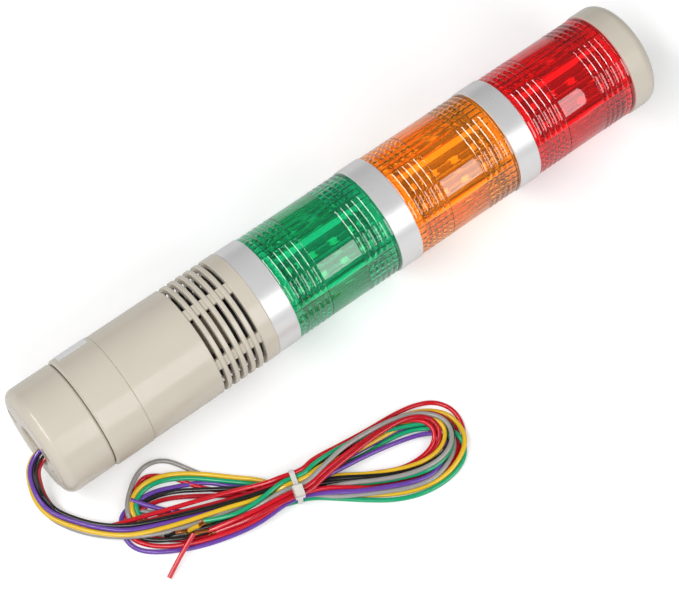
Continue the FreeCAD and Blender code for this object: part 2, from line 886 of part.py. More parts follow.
def wire_hank():
    """Outer shape of the folded leads, drawn in where the tie grips them."""
    floor = -axis_height
    first, last = entry_corners()
    rim_points = [(first.x, first.y)] + hank_outline + [(last.x, last.y)]
    rim = plan_wire(rim_points, floor, False)
    entry = Part.LineSegment(Vector(last.x, last.y, floor), Vector(first.x, first.y, floor)).toShape()
    body = Part.Face(Part.Wire([rim, entry])).extrude(Vector(0, 0, hank_height))
    eye = Part.Face(Part.Wire([plan_wire(hank_eye, floor, True)]))
    body = body.cut(eye.extrude(Vector(0, 0, hank_height)))
    waist = tie_block(tie_head_length + 2 * fit_gap, hank_waist_reach, floor - 1,
                      floor + hank_height + 1, 0)
    return body.cut(waist).fuse(tie_hole(fit_gap)).removeSplitter()


def cable_tie():
    """Nylon tie round the hank: a closed band and its head at the outer edge."""
    floor = -axis_height
    outer_width = tie_core_width + 2 * tie_thickness
    top = floor + tie_core_height + 2 * tie_thickness
    band = tie_block(tie_width, outer_width, floor, top, tie_round)
    head = Part.makeBox(tie_head_length, tie_head_width, tie_head_height,
                        Vector(-tie_head_length / 2, -outer_width / 2, top - tie_thickness))
    head.rotate(ORIGIN, Vector(0, 0, 1), tie_turn)
    head.translate(Vector(tie_place[0], tie_place[1], 0))
    return band.fuse(head).cut(tie_hole(0)).removeSplitter()


def stripped_tail():
    """Loose slug of insulation on the end of the red lead, lying past the hank."""
    first = Vector(*tail_start)
    last = Vector(*tail_end)
    run = last - first
    return Part.makeCylinder(lead_diameter / 2, run.Length, first, run)


# ---------------------------------------------------------------------- writing
def all_pieces():
    """Every sub-part of the stack light by name."""
    pieces = {
        "mounting_foot": mounting_foot(),
        "base_collar": base_collar(),
        "rating_plate": rating_plate(),
        "collar_screws": collar_screws(),
        "wire_grommet": wire_grommet(),
        "sounder_housing": sounder_housing(),
        "control_board": control_board(),
        "board_components": board_components(),
        "sounder_bracket": sounder_bracket(),
        "sounder": sounder(),
        "top_seat": top_seat(),
        "cap_seal": cap_seal(),
        "top_cap": top_cap(),
        "tie_rod": tie_rod(),
        "rod_nuts": rod_nuts(),
        "rod_washers": rod_washers(),
        "wire_hank": wire_hank(),
        "cable_tie": cable_tie(),
        "stripped_tail": stripped_tail(),
    }
    for i, name in enumerate(tier_names):
        pieces["silver_ring_%d" % (i + 1)] = silver_ring(ring_starts[i])
        pieces["%s_lens" % name] = lens(lens_starts[i])
        pieces["led_column_%s" % name] = led_column(ring_starts[i])
        pieces["led_boards_%s" % name] = led_boards(ring_starts[i])
        pieces["led_chips_%s" % name] = led_chips(ring_starts[i])
    for offset, name in zip(bundle_offsets(), lead_names):
        pieces["lead_%s" % name] = lead(offset, name)
    return pieces


def write_parts():
    """Lay the tower down on z = 0 and write one file for each sub-part."""
    os.makedirs("parts", exist_ok=True)
    for name, shape in all_pieces().items():
        shape.translate(Vector(-total_length / 2, 0, axis_height))
        shape.exportStep("parts/%s.step" % name)
        print("%-20s solids %2d  volume %9.1f  valid %s"
              % (name, len(shape.Solids), shape.Volume, shape.isValid()))


write_parts()
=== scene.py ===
"""Looks of a stack light that lies on its side, with its tied leads beside it.

The tower's own pieces come from the CAD frame and get their finishes here.  The leads
with their stripped ends, the cable tie, the lenses and the blank label are modelled here
in full.  Plan places are in millimetres from the tower's mounting face, as in the part's
source.
"""
import json
import logging
import math
from dataclasses import dataclass
from enum import Enum
from functools import partial

import bmesh
import bpy
import numpy as np
from mathutils import Matrix, Vector


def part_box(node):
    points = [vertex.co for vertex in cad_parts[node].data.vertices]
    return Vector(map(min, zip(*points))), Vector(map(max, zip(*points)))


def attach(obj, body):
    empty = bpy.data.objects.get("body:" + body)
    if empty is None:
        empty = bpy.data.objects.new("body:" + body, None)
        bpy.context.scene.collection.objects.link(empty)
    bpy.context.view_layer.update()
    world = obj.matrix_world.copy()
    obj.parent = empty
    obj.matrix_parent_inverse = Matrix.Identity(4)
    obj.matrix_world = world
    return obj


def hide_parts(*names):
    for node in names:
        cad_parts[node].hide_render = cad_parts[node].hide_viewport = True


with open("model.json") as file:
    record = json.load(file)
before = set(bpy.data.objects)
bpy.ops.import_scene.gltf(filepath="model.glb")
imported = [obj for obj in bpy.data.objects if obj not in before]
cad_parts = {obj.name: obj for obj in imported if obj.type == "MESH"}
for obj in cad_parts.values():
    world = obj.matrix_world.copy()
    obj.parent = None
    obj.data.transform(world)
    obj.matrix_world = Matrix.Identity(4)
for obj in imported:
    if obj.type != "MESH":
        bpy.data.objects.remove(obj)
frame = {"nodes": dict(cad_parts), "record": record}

logging.basicConfig(level=logging.INFO, format="%(name)s: %(message)s")
log = logging.getLogger("stack_light")

Plan = list[tuple[float, float]]

MM = 0.001
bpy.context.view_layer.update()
FOOT_FACE_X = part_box("mounting_foot")[0][0]
AXIS_HEIGHT = (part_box("base_collar")[0][2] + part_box("base_collar")[1][2]) / 2


def place(x: float, y: float, z: float) -> Vector:
    """Turn a point in the tower's own millimetres into a point in the row frame."""
    return Vector((FOOT_FACE_X + x * MM, y * MM, AXIS_HEIGHT + z * MM))


def linear(code: str) -> tuple[float, float, float]:
    """Turn an sRGB hex code into a linear colour."""
    values = [int(code[i:i + 2], 16) / 255 for i in (1, 3, 5)]
    return tuple(v / 12.92 if v <= 0.04045 else ((v + 0.055) / 1.055) ** 2.4 for v in values)


def slot_of(node: str) -> str:
    """Give the record's material slot of a CAD node."""
    return next(part["material_slot"] for part in frame["record"]["subparts"]
                if part["node"] == node)


# -------------------------------------------------------------------------- nodes
def add_node(tree: bpy.types.NodeTree, kind: str, inputs: dict | None = None,
             **settings: object) -> bpy.types.Node:
    """Add a node with its settings and links.

    Args:
        tree: The tree of a material, the world or a geometry modifier.
        kind: Type of the node, or the name of one that the tree already has.
        inputs: A value, a socket, a node whose first output is meant, or a list of
            sockets and nodes, for each named or numbered input.
        settings: The node's own properties.

    Returns:
        The node.
    """
    node = tree.nodes.get(kind) or tree.nodes.new(kind)
    for key, value in settings.items():
        setattr(node, key, value)
    for key, given in (inputs or {}).items():
        for value in given if isinstance(given, list) else [given]:
            if isinstance(value, bpy.types.Node):
                value = value.outputs[0]
            if isinstance(value, bpy.types.NodeSocket):
                tree.links.new(value, node.inputs[key])
            else:
                node.inputs[key].default_value = value
    return node


def add_sight(tree: bpy.types.NodeTree) -> bpy.types.Node:
    """Tell a look at a surface, also one through clear parts, from its light on others.

    Args:
        tree: The tree of a material or the world.

    Returns:
        A node that gives 1 for a look and 0 for light.
    """
    path = add_node(tree, "ShaderNodeLightPath")
    return add_node(tree, "ShaderNodeMath", {0: path.outputs["Is Camera Ray"],
                                             1: path.outputs["Transmission Depth"]},
                    operation="MAXIMUM", use_clamp=True)


# ---------------------------------------------------------------------- materials
@dataclass(frozen=True)
class Finish:
    """A surface: its colours and how it takes light; sizes are in millimetres."""

    name: str
    colour: str
    second: str
    roughness: float
    roughness_spread: float
    metallic: float = 0.0
    specular: float = 0.5
    coat: float = 0.0
    coat_roughness: float = 0.1
    coat_ior: float = 1.5
    transmission: float = 0.0
    ior: float = 1.5
    subsurface: float = 0.0
    subsurface_depth: float = 2.0
    # Share of the light that a clear part lets through to what is under it.
    clearness: float = 0.0
    # Patches of slightly other colour; the gloss varies in finer ones.
    patch_size: float = 20.0
    # A real mould's or spray's grain is finer; it is drawn as coarse as it needs to show.
    grain_size: float = 0.4
    grain_depth: float = 0.0


# How much finer the patches of gloss are than those of colour.
GLOSS_FINENESS = 2.5
# Least roughness that any surface gets.
SMOOTHEST = 0.02


def new_material(name: str) -> bpy.types.Material:
    """Start a material with nodes.

    Args:
        name: Name of the material.

    Returns:
        The material.
    """
    material = bpy.data.materials.new(name)
    material.use_nodes = True
    return material


def make_material(finish: Finish) -> bpy.types.Material:
    """Build a finish: colour patches, uneven gloss and a fine grain.

    Args:
        finish: The surface to build.

    Returns:
        Its material.
    """
    material = new_material(finish.name)
    add = partial(add_node, material.node_tree)
    where = add("ShaderNodeTexCoord").outputs["Object"]
    # The noise seldom leaves this range, so it is spread to the whole one.
    noise_range = {"From Min": 0.25, "From Max": 0.75}
    patches = add("ShaderNodeTexNoise", {"Vector": where, "Detail": 3.0,
                                         "Scale": 1.0 / (finish.patch_size * MM)})
    share = add("ShaderNodeMapRange", {"Value": patches.outputs["Fac"], **noise_range})
    colour = add("ShaderNodeMix", {"Factor": share, 6: (*linear(finish.colour), 1.0),
                                   7: (*linear(finish.second), 1.0)}, data_type="RGBA")
    wear = add("ShaderNodeTexNoise", {"Vector": where, "Detail": 3.0,
                                      "Scale": GLOSS_FINENESS / (finish.patch_size * MM)})
    gloss = add("ShaderNodeMapRange",
                {"Value": wear.outputs["Fac"], **noise_range,
                 "To Min": max(SMOOTHEST, finish.roughness - finish.roughness_spread),
                 "To Max": finish.roughness + finish.roughness_spread})
    surface = {
        "Base Color": colour.outputs[2], "Roughness": gloss, "Metallic": finish.metallic,
        "Specular IOR Level": finish.specular, "Coat Weight": finish.coat,
        "Coat Roughness": finish.coat_roughness, "Coat IOR": finish.coat_ior,
        "Transmission Weight": finish.transmission, "IOR": finish.ior,
        "Subsurface Weight": finish.subsurface,
        "Subsurface Scale": finish.subsurface_depth * MM}
    if finish.clearness > 0:
        path = add("ShaderNodeLightPath")
        surface["Alpha"] = add("ShaderNodeMapRange", {"Value": path.outputs["Is Shadow Ray"],
                                                      "To Min": 1.0,
                                                      "To Max": 1.0 - finish.clearness})
    if finish.grain_depth > 0:
        grain = add("ShaderNodeTexNoise", {"Vector": where, "Detail": 2.0,
                                           "Scale": 1.0 / (finish.grain_size * MM)})
        surface["Normal"] = add("ShaderNodeBump", {"Height": grain.outputs["Fac"],
                                                   "Strength": 1.0,
                                                   "Distance": finish.grain_depth * MM})
    add("Principled BSDF", surface)
    return material


# The coat's index is above that of acrylic, so that highlights stand out over lit insides.
def dyed_acrylic(colour: str, code: str, second: str) -> Finish:
    """Clear dyed acrylic from a polished mould: deep even colour, hard bright highlights.

    Args:
        colour: Name of the colour.
        code: Its sRGB hex code.
        second: Hex code of the colour that it varies to.

    Returns:
        The finish.
    """
    return Finish("moulded_pmma_" + colour, code, second, 0.03, 0.01, transmission=1.0,
                  specular=1.0, ior=1.49, coat=0.33, coat_ior=2.2, coat_roughness=0.03,
                  patch_size=50.0, clearness=0.95)


def insulation(name: str, code: str, second: str) -> Finish:
    """Extruded PVC: even colour with a broad waxy highlight along the lead."""
    return Finish("extruded_pvc_" + name, code, second, 0.16, 0.04, specular=0.7,
                  patch_size=6.0, grain_size=0.6, grain_depth=0.004)


class Surface(Enum):
    """Every finish of the stack light but the leads' insulation."""

    # Fine spark-eroded mould: warm ivory with a soft sheen and hardly any grain.
    IVORY = Finish("moulded_abs_ivory", "#CDC5B7", "#C9C1B2", 0.17, 0.03, specular=0.36,
                   grain_size=0.5, grain_depth=0.012)
    # Sprayed metal paint on ABS: pale silver whose highlights spread round the ring.
    SILVER = Finish("silver_painted_abs", "#E2E1E1", "#DCDBDC", 0.30, 0.03, metallic=0.3,
                    grain_size=0.3, grain_depth=0.004)
    GREEN_LENS = dyed_acrylic("green", "#1FC08A", "#1ABA84")
    AMBER_LENS = dyed_acrylic("amber", "#FFA624", "#FFA01E")
    RED_LENS = dyed_acrylic("red", "#EE2228", "#E81E24")
    # Bright zinc on turned steel: a cool grey metal, a little uneven.
    STEEL = Finish("zinc_plated_steel", "#B9BBBD", "#A8AAAC", 0.3, 0.06, metallic=1.0)
    # Moulded rubber: dull, nearly black, without a clear highlight.
    RUBBER = Finish("moulded_rubber_black", "#161616", "#1C1C1C", 0.7, 0.08,
                    grain_depth=0.01)
    # Solder mask over glass fibre: dark green with a satin gloss.
    BOARD = Finish("circuit_board_green", "#1E5A35", "#1A5030", 0.35, 0.05)
    # Transfer-moulded epoxy: matt black blocks.
    COMPONENT = Finish("moulded_epoxy_black", "#141414", "#1B1B1B", 0.5, 0.05)
    # Moulded tan plastic: matt and dusty, it makes the slots' depth show.
    BRACKET = Finish("moulded_tan_bracket", "#9C8F78", "#8F8169", 0.5, 0.05)
    # Moulded PBT case: the darkest piece behind the slots.
    SOUNDER = Finish("moulded_pbt_black", "#0E0E0E", "#151515", 0.5, 0.05)
    # Polyester film: a smooth pale patch, cooler than the ivory round it.
    LABEL = Finish("polyester_label_film", "#E4E4E4", "#DEDEDE", 0.3, 0.03)
    # Moulded white carrier: bright and matt, it lights the lens from inside.
    CARRIER = Finish("moulded_white_carrier", "#FAFAF7", "#F4F4F1", 0.5, 0.05)
    # Pale solder mask, drawn mid grey: painted shade for the dim light inside the lens, so that
    # the strips read as boards through it.
    WHITE_BOARD = Finish("pale_solder_mask_painted_shade", "#8E8E88", "#868680", 0.35, 0.05)
    # Cast LED resin: small warm glossy beads.
    LED = Finish("led_epoxy_clear", "#F4EFD6", "#EFE9C8", 0.15, 0.02)
    # Moulded natural nylon: milky, with light inside its edges.
    NYLON = Finish("natural_nylon", "#DEDCD6", "#D6D4CC", 0.32, 0.05, subsurface=0.3)
    # Drawn and twisted copper: bright orange metal in fine strands.
    COPPER = Finish("stranded_copper", "#D98A52", "#C97840", 0.28, 0.05, metallic=1.0)


SURFACE_OF_SLOT = {
    "ivory_abs": Surface.IVORY, "plated_steel": Surface.STEEL, "black_rubber": Surface.RUBBER,
    "circuit_board": Surface.BOARD, "component_black": Surface.COMPONENT,
    "tan_bracket": Surface.BRACKET, "sounder_black": Surface.SOUNDER,
    "silver_finish": Surface.SILVER, "white_carrier": Surface.CARRIER,
    "white_board": Surface.WHITE_BOARD, "led_resin": Surface.LED,
}


class MaterialLibrary:
    """Makes each material once."""

    def __init__(self) -> None:
        """Start without any material."""
        self.made: dict[str, bpy.types.Material] = {}

    def get(self, finish: Finish) -> bpy.types.Material:
        """Give the material of a finish.

        Args:
            finish: The surface that is wanted.

        Returns:
            Its material, which is made on the first call.
        """
        if finish.name not in self.made:
            self.made[finish.name] = make_material(finish)
        return self.made[finish.name]


# ------------------------------------------------------------------------- meshes
def add_object(name: str, data: bpy.types.ID) -> bpy.types.Object:
    """Put an object at the scene's origin.

    Args:
        name: Name of the object.
        data: Its mesh, curve, light or camera.

    Returns:
        The object.
    """
    made = bpy.data.objects.new(name, data)
    bpy.context.scene.collection.objects.link(made)
    return made


def add_smooth(mesh: bpy.types.Mesh, material: bpy.types.Material,
               sharp_angle: float) -> bpy.types.Object:
    """Put a mesh in the scene, shaded smooth but for its sharp edges.

    Args:
        mesh: The mesh, which also names the object.
        material: Its material.
        sharp_angle: Angle in degrees from which an edge stays sharp.

    Returns:
        The object.
    """
    mesh.materials.append(material)
    mesh.polygons.foreach_set("use_smooth", [True] * len(mesh.polygons))
    mesh.set_sharp_from_angle(angle=math.radians(sharp_angle))
    mesh.update()
    return add_object(mesh.name, mesh)


def add_mesh(name: str, vertices: list, faces: list, material: bpy.types.Material,
             sharp_angle: float = 30.0) -> bpy.types.Object:
    """Make a mesh object from points and faces.

    Args:
        name: Name of the piece.
        vertices: Points in the row frame.
        faces: Indices of each face's points.
        material: Its material.
        sharp_angle: Angle in degrees from which an edge stays sharp.

    Returns:
        The object.
    """
    mesh = bpy.data.meshes.new(name)
    mesh.from_pydata([tuple(v) for v in vertices], [], faces)
    return add_smooth(mesh, material, sharp_angle)


# ------------------------------------------------------------------- sub-assemblies
@dataclass
class SubAssembly:
    """Pieces that are mounted together; a subclass adds those that are modelled here.

    Sizes of the object's classes are in millimetres and angles in degrees.
    """

    library: MaterialLibrary
    nodes: tuple[str, ...] = ()

    def build(self) -> None:
        """Give each CAD node of the sub-assembly the finish of its slot."""
        for name in self.nodes:
            finish = SURFACE_OF_SLOT[slot_of(name)].value
            for slot in frame["nodes"][name].material_slots:
                slot.material = self.library.get(finish)
            log.info("%s gets %s", name, finish.name)


@dataclass
class SounderSection(SubAssembly):
    """Slotted housing with the sounder on its bracket."""

    nodes: tuple[str, ...] = ("sounder_housing", "sounder_bracket", "sounder")


@dataclass
class Top(SubAssembly):
    """Cap with its seal, and the rod that clamps the tiers under it."""

    nodes: tuple[str, ...] = ("top_cap", "cap_seal", "top_seat", "tie_rod", "rod_nuts",
                              "rod_washers")


@dataclass
class Base(SubAssembly):
    """Foot and collar with the control board, and a plain film label round the collar."""

    nodes: tuple[str, ...] = ("mounting_foot", "base_collar", "collar_screws", "wire_grommet",
                              "control_board", "board_components")
    # Angles of the label's edges from the top of the collar.
    label_from: float = 43.0
    label_to: float = 78.0
    label_thickness: float = 0.12
    label_steps: int = 16

    def label(self) -> None:
        """Lay the label on the upper side of the collar, in place of its plain solid."""
        low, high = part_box("base_collar")
        plate_low, plate_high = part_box("rating_plate")
        radius = (high[2] - low[2]) / 2
        steps, row = self.label_steps, self.label_steps + 1
        vertices, faces = [], []
        for reach in (radius - self.label_thickness * MM, radius + self.label_thickness * MM):
            for x in (plate_low[0], plate_high[0]):
                for step in range(row):
                    angle = math.radians(self.label_from
                                         + (self.label_to - self.label_from) * (step / steps))
                    vertices.append((x, reach * math.sin(angle),
                                     AXIS_HEIGHT + reach * math.cos(angle)))
        for k in range(steps):
            faces.append((2 * row + k, 3 * row + k, 3 * row + k + 1, 2 * row + k + 1))
            faces.append((k, k + 1, row + k + 1, row + k))
            faces.append((k, 2 * row + k, 2 * row + k + 1, k + 1))
            faces.append((row + k, row + k + 1, 3 * row + k + 1, 3 * row + k))
        faces.append((0, row, 3 * row, 2 * row))
        faces.append((steps, 2 * row + steps, 3 * row + steps, row + steps))
        made = add_mesh("blank_label", vertices, faces, self.library.get(Surface.LABEL.value))
        outwards = bmesh.new()
        outwards.from_mesh(made.data)
        bmesh.ops.recalc_face_normals(outwards, faces=outwards.faces)
        outwards.to_mesh(made.data)
        outwards.free()
        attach(made, "tower")
        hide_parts("rating_plate")
        log.info("%s has %d faces", made.name, len(faces))

    def build(self) -> None:
        """Dress the CAD nodes and add the label."""
        super().build()
        self.label()


@dataclass
class Tier(SubAssembly):
    """Lit tier on its silver ring; its clear lens has ribs outside and flutes inside."""

    colour: str = "green"
    lens_surface: Surface = Surface.GREEN_LENS
    # Number of the silver ring under the lens, counted from the foot.
    ring: int = 1
    rib_pitch: float = 2.87
    rib_height: float = 0.45
    lower_ribs: int = 6
    upper_ribs: int = 5
    rib_steps: int = 10
    # Plain rim at the upper end, and how far the plain middle lies under it.
    rim_length: float = 1.45
    rim_bevel: float = 0.2
    band_drop: float = 0.1
    edge_round: float = 0.42
    edge_steps: int = 5
    # Wall between the rim and the bore, and the flutes cut into the bore.
    wall: float = 2.2
    flute_count: int = 48
    flute_steps: int = 6
    flute_depth: float = 0.4
    flute_margin: float = 0.8
    flute_run_out: float = 0.2

    def __post_init__(self) -> None:
        """Name the CAD nodes of this tier."""
        self.nodes = (f"silver_ring_{self.ring}", f"led_column_{self.colour}",
                      f"led_boards_{self.colour}", f"led_chips_{self.colour}")

    def ribs(self, start: float, count: int, valley: float) -> Plan:
        """Draw the outer profile of a run of rounded ribs.

        Args:
            start: Where the run starts along the lens.
            count: Number of ribs.
            valley: Radius between the ribs.

        Returns:
            Places along the lens with their radius.
        """
        half = self.rib_pitch / 2
        round_radius = (half ** 2 + self.rib_height ** 2) / (2 * self.rib_height)
        points = []
        for rib in range(count):
            for step in range(self.rib_steps):
                away = (step / self.rib_steps * 2 - 1) * half
                rise = math.sqrt(round_radius ** 2 - away ** 2) - round_radius + self.rib_height
                points.append((start + rib * self.rib_pitch + half + away, valley + rise))
        return points

    def rounded_step(self, x: float, low: float, high: float, side: int) -> Plan:
        """Draw the step between a groove and a plain surface, over a rounded edge.

        Args:
            x: Where the step is along the lens.
            low: Radius of the groove.
            high: Radius of the plain surface.
            side: 1 for a step up, -1 for a step down.

        Returns:
            Places along the lens with their radius.
        """
        points = []
        for i in range(self.edge_steps + 1):
            angle = math.pi / 2 * i / self.edge_steps
            reach = self.edge_round * (1 - math.cos(angle))
            points.append((x + side * reach, high - (high - low) * (1 - math.sin(angle))))
        return points if side > 0 else points[::-1]

    def outer_profile(self, length: float, radius: float) -> Plan:
        """Draw the outside of the lens from its lower end to its rim.

        Args:
            length: Length of the lens.
            radius: Radius of its rim.

        Returns:
            Places along the lens with their radius.
        """
        valley = radius - self.rib_height
        band = radius - self.band_drop
        rim_start = length - self.rim_length
        upper_start = rim_start - self.upper_ribs * self.rib_pitch
        return [*self.ribs(0.0, self.lower_ribs, valley),
                *self.rounded_step(self.lower_ribs * self.rib_pitch, valley, band, 1),
                *self.rounded_step(upper_start, valley, band, -1),
                *self.ribs(upper_start, self.upper_ribs, valley)[1:],
                *self.rounded_step(rim_start, valley, radius, 1),
                (length - self.rim_bevel, radius), (length, radius - self.rim_bevel)]

    def lens(self) -> None:
        """Turn the lens's profile round the axis, in place of its plain solid."""
        node = self.colour + "_lens"
        low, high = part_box(node)
        length = (high[0] - low[0]) / MM
        radius = (high[2] - low[2]) / 2 / MM
        bore = radius - self.wall
        fluted_end = self.flute_margin + self.flute_run_out
        # Place along the lens, radius, and the share of the flutes' depth there.
        rows = [(x, r, 0.0) for x, r in self.outer_profile(length, radius)]
        rows += [(length, bore, 0.0), (length - self.flute_margin, bore, 0.0),
                 (length - fluted_end, bore, 1.0), (fluted_end, bore, 1.0),
                 (self.flute_margin, bore, 0.0), (0.0, bore, 0.0)]
        around = self.flute_count * self.flute_steps
        vertices = []
        for x, r, fluted in rows:
            for k in range(around):
                lobe = 2 * (k % self.flute_steps) / self.flute_steps - 1
                reach = r + fluted * self.flute_depth * lobe * lobe
                angle = 2 * math.pi * k / around
                vertices.append(((low[0] / MM + x) * MM, reach * math.sin(angle) * MM,
                                 AXIS_HEIGHT + reach * math.cos(angle) * MM))
        faces = []
        for i in range(len(rows)):
            j = (i + 1) % len(rows)
            for k in range(around):
                m = (k + 1) % around
                faces.append((i * around + k, j * around + k, j * around + m, i * around + m))
        made = add_mesh("shaped_" + node, vertices, faces,
                        self.library.get(self.lens_surface.value))
        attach(made, "tower")
        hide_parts(node)
        log.info("%s has %d faces", made.name, len(faces))

    def build(self) -> None:
        """Dress the CAD nodes and make the lens."""
        super().build()
        self.lens()


# -------------------------------------------------------------------------- leads
LEAD_DIAMETER = 2.0
# Distance between neighbours in the bundle.
LEAD_SPACING = 2.15
# Height of the floor under the tower's axis.
FLOOR = -25.2
# Centre line of the bundle from the grommet to the hank, as in the part's source.
BUNDLE_ROUTE = [
    (36.0, -2.0, -1.0), (24.0, -2.4, -1.4), (11.0, -2.9, -2.2), (-0.2, -3.4, -2.9),
    (-5.2, -5.1, -7.0), (-7.4, -8.4, -13.6), (-8.8, -13.2, -18.8), (-8.0, -20.2, -21.9),
    (-4.0, -28.2, -22.0), (1.9, -36.2, -21.9),
]
# Degrees that the bundle winds by, from the route's fourth point over the next five.
BUNDLE_WIND = -120.0
WIND_FROM, WIND_OVER = 3, 5
# Middle of the tie in plan, its turn, and how far a lead runs straight to each side of it.
TIE_PLACE = (77.6, -71.2)
TIE_TURN = math.radians(-18.0)
TIE_REACH = 4.6
# Height of the lowest row of leads in the tie, and of each row over the one before.
TIE_BASE = 1.0
ROW_HEIGHT = 1.7


@dataclass(frozen=True)
class Lead:
    """One insulated lead: its place in the bundle, and its plan in the hank by runs.

    Place 0 is the middle of the bundle and 1 to 6 lie round it.  Each run but the first
    starts where the lead comes out of the tie.  A tie slot is the distance across the tie
    and the row, in the order of the passes.  Heights are above the floor.
    """

    name: str
    finish: Finish
    bundle_place: int
    exit_run: Plan
    outer_loop: Plan
    lobe: Plan
    inner_loop: Plan
    tail: Plan
    tie_slots: list[tuple[float, int]]
    tail_height: float
    exit_height: float = 6.5


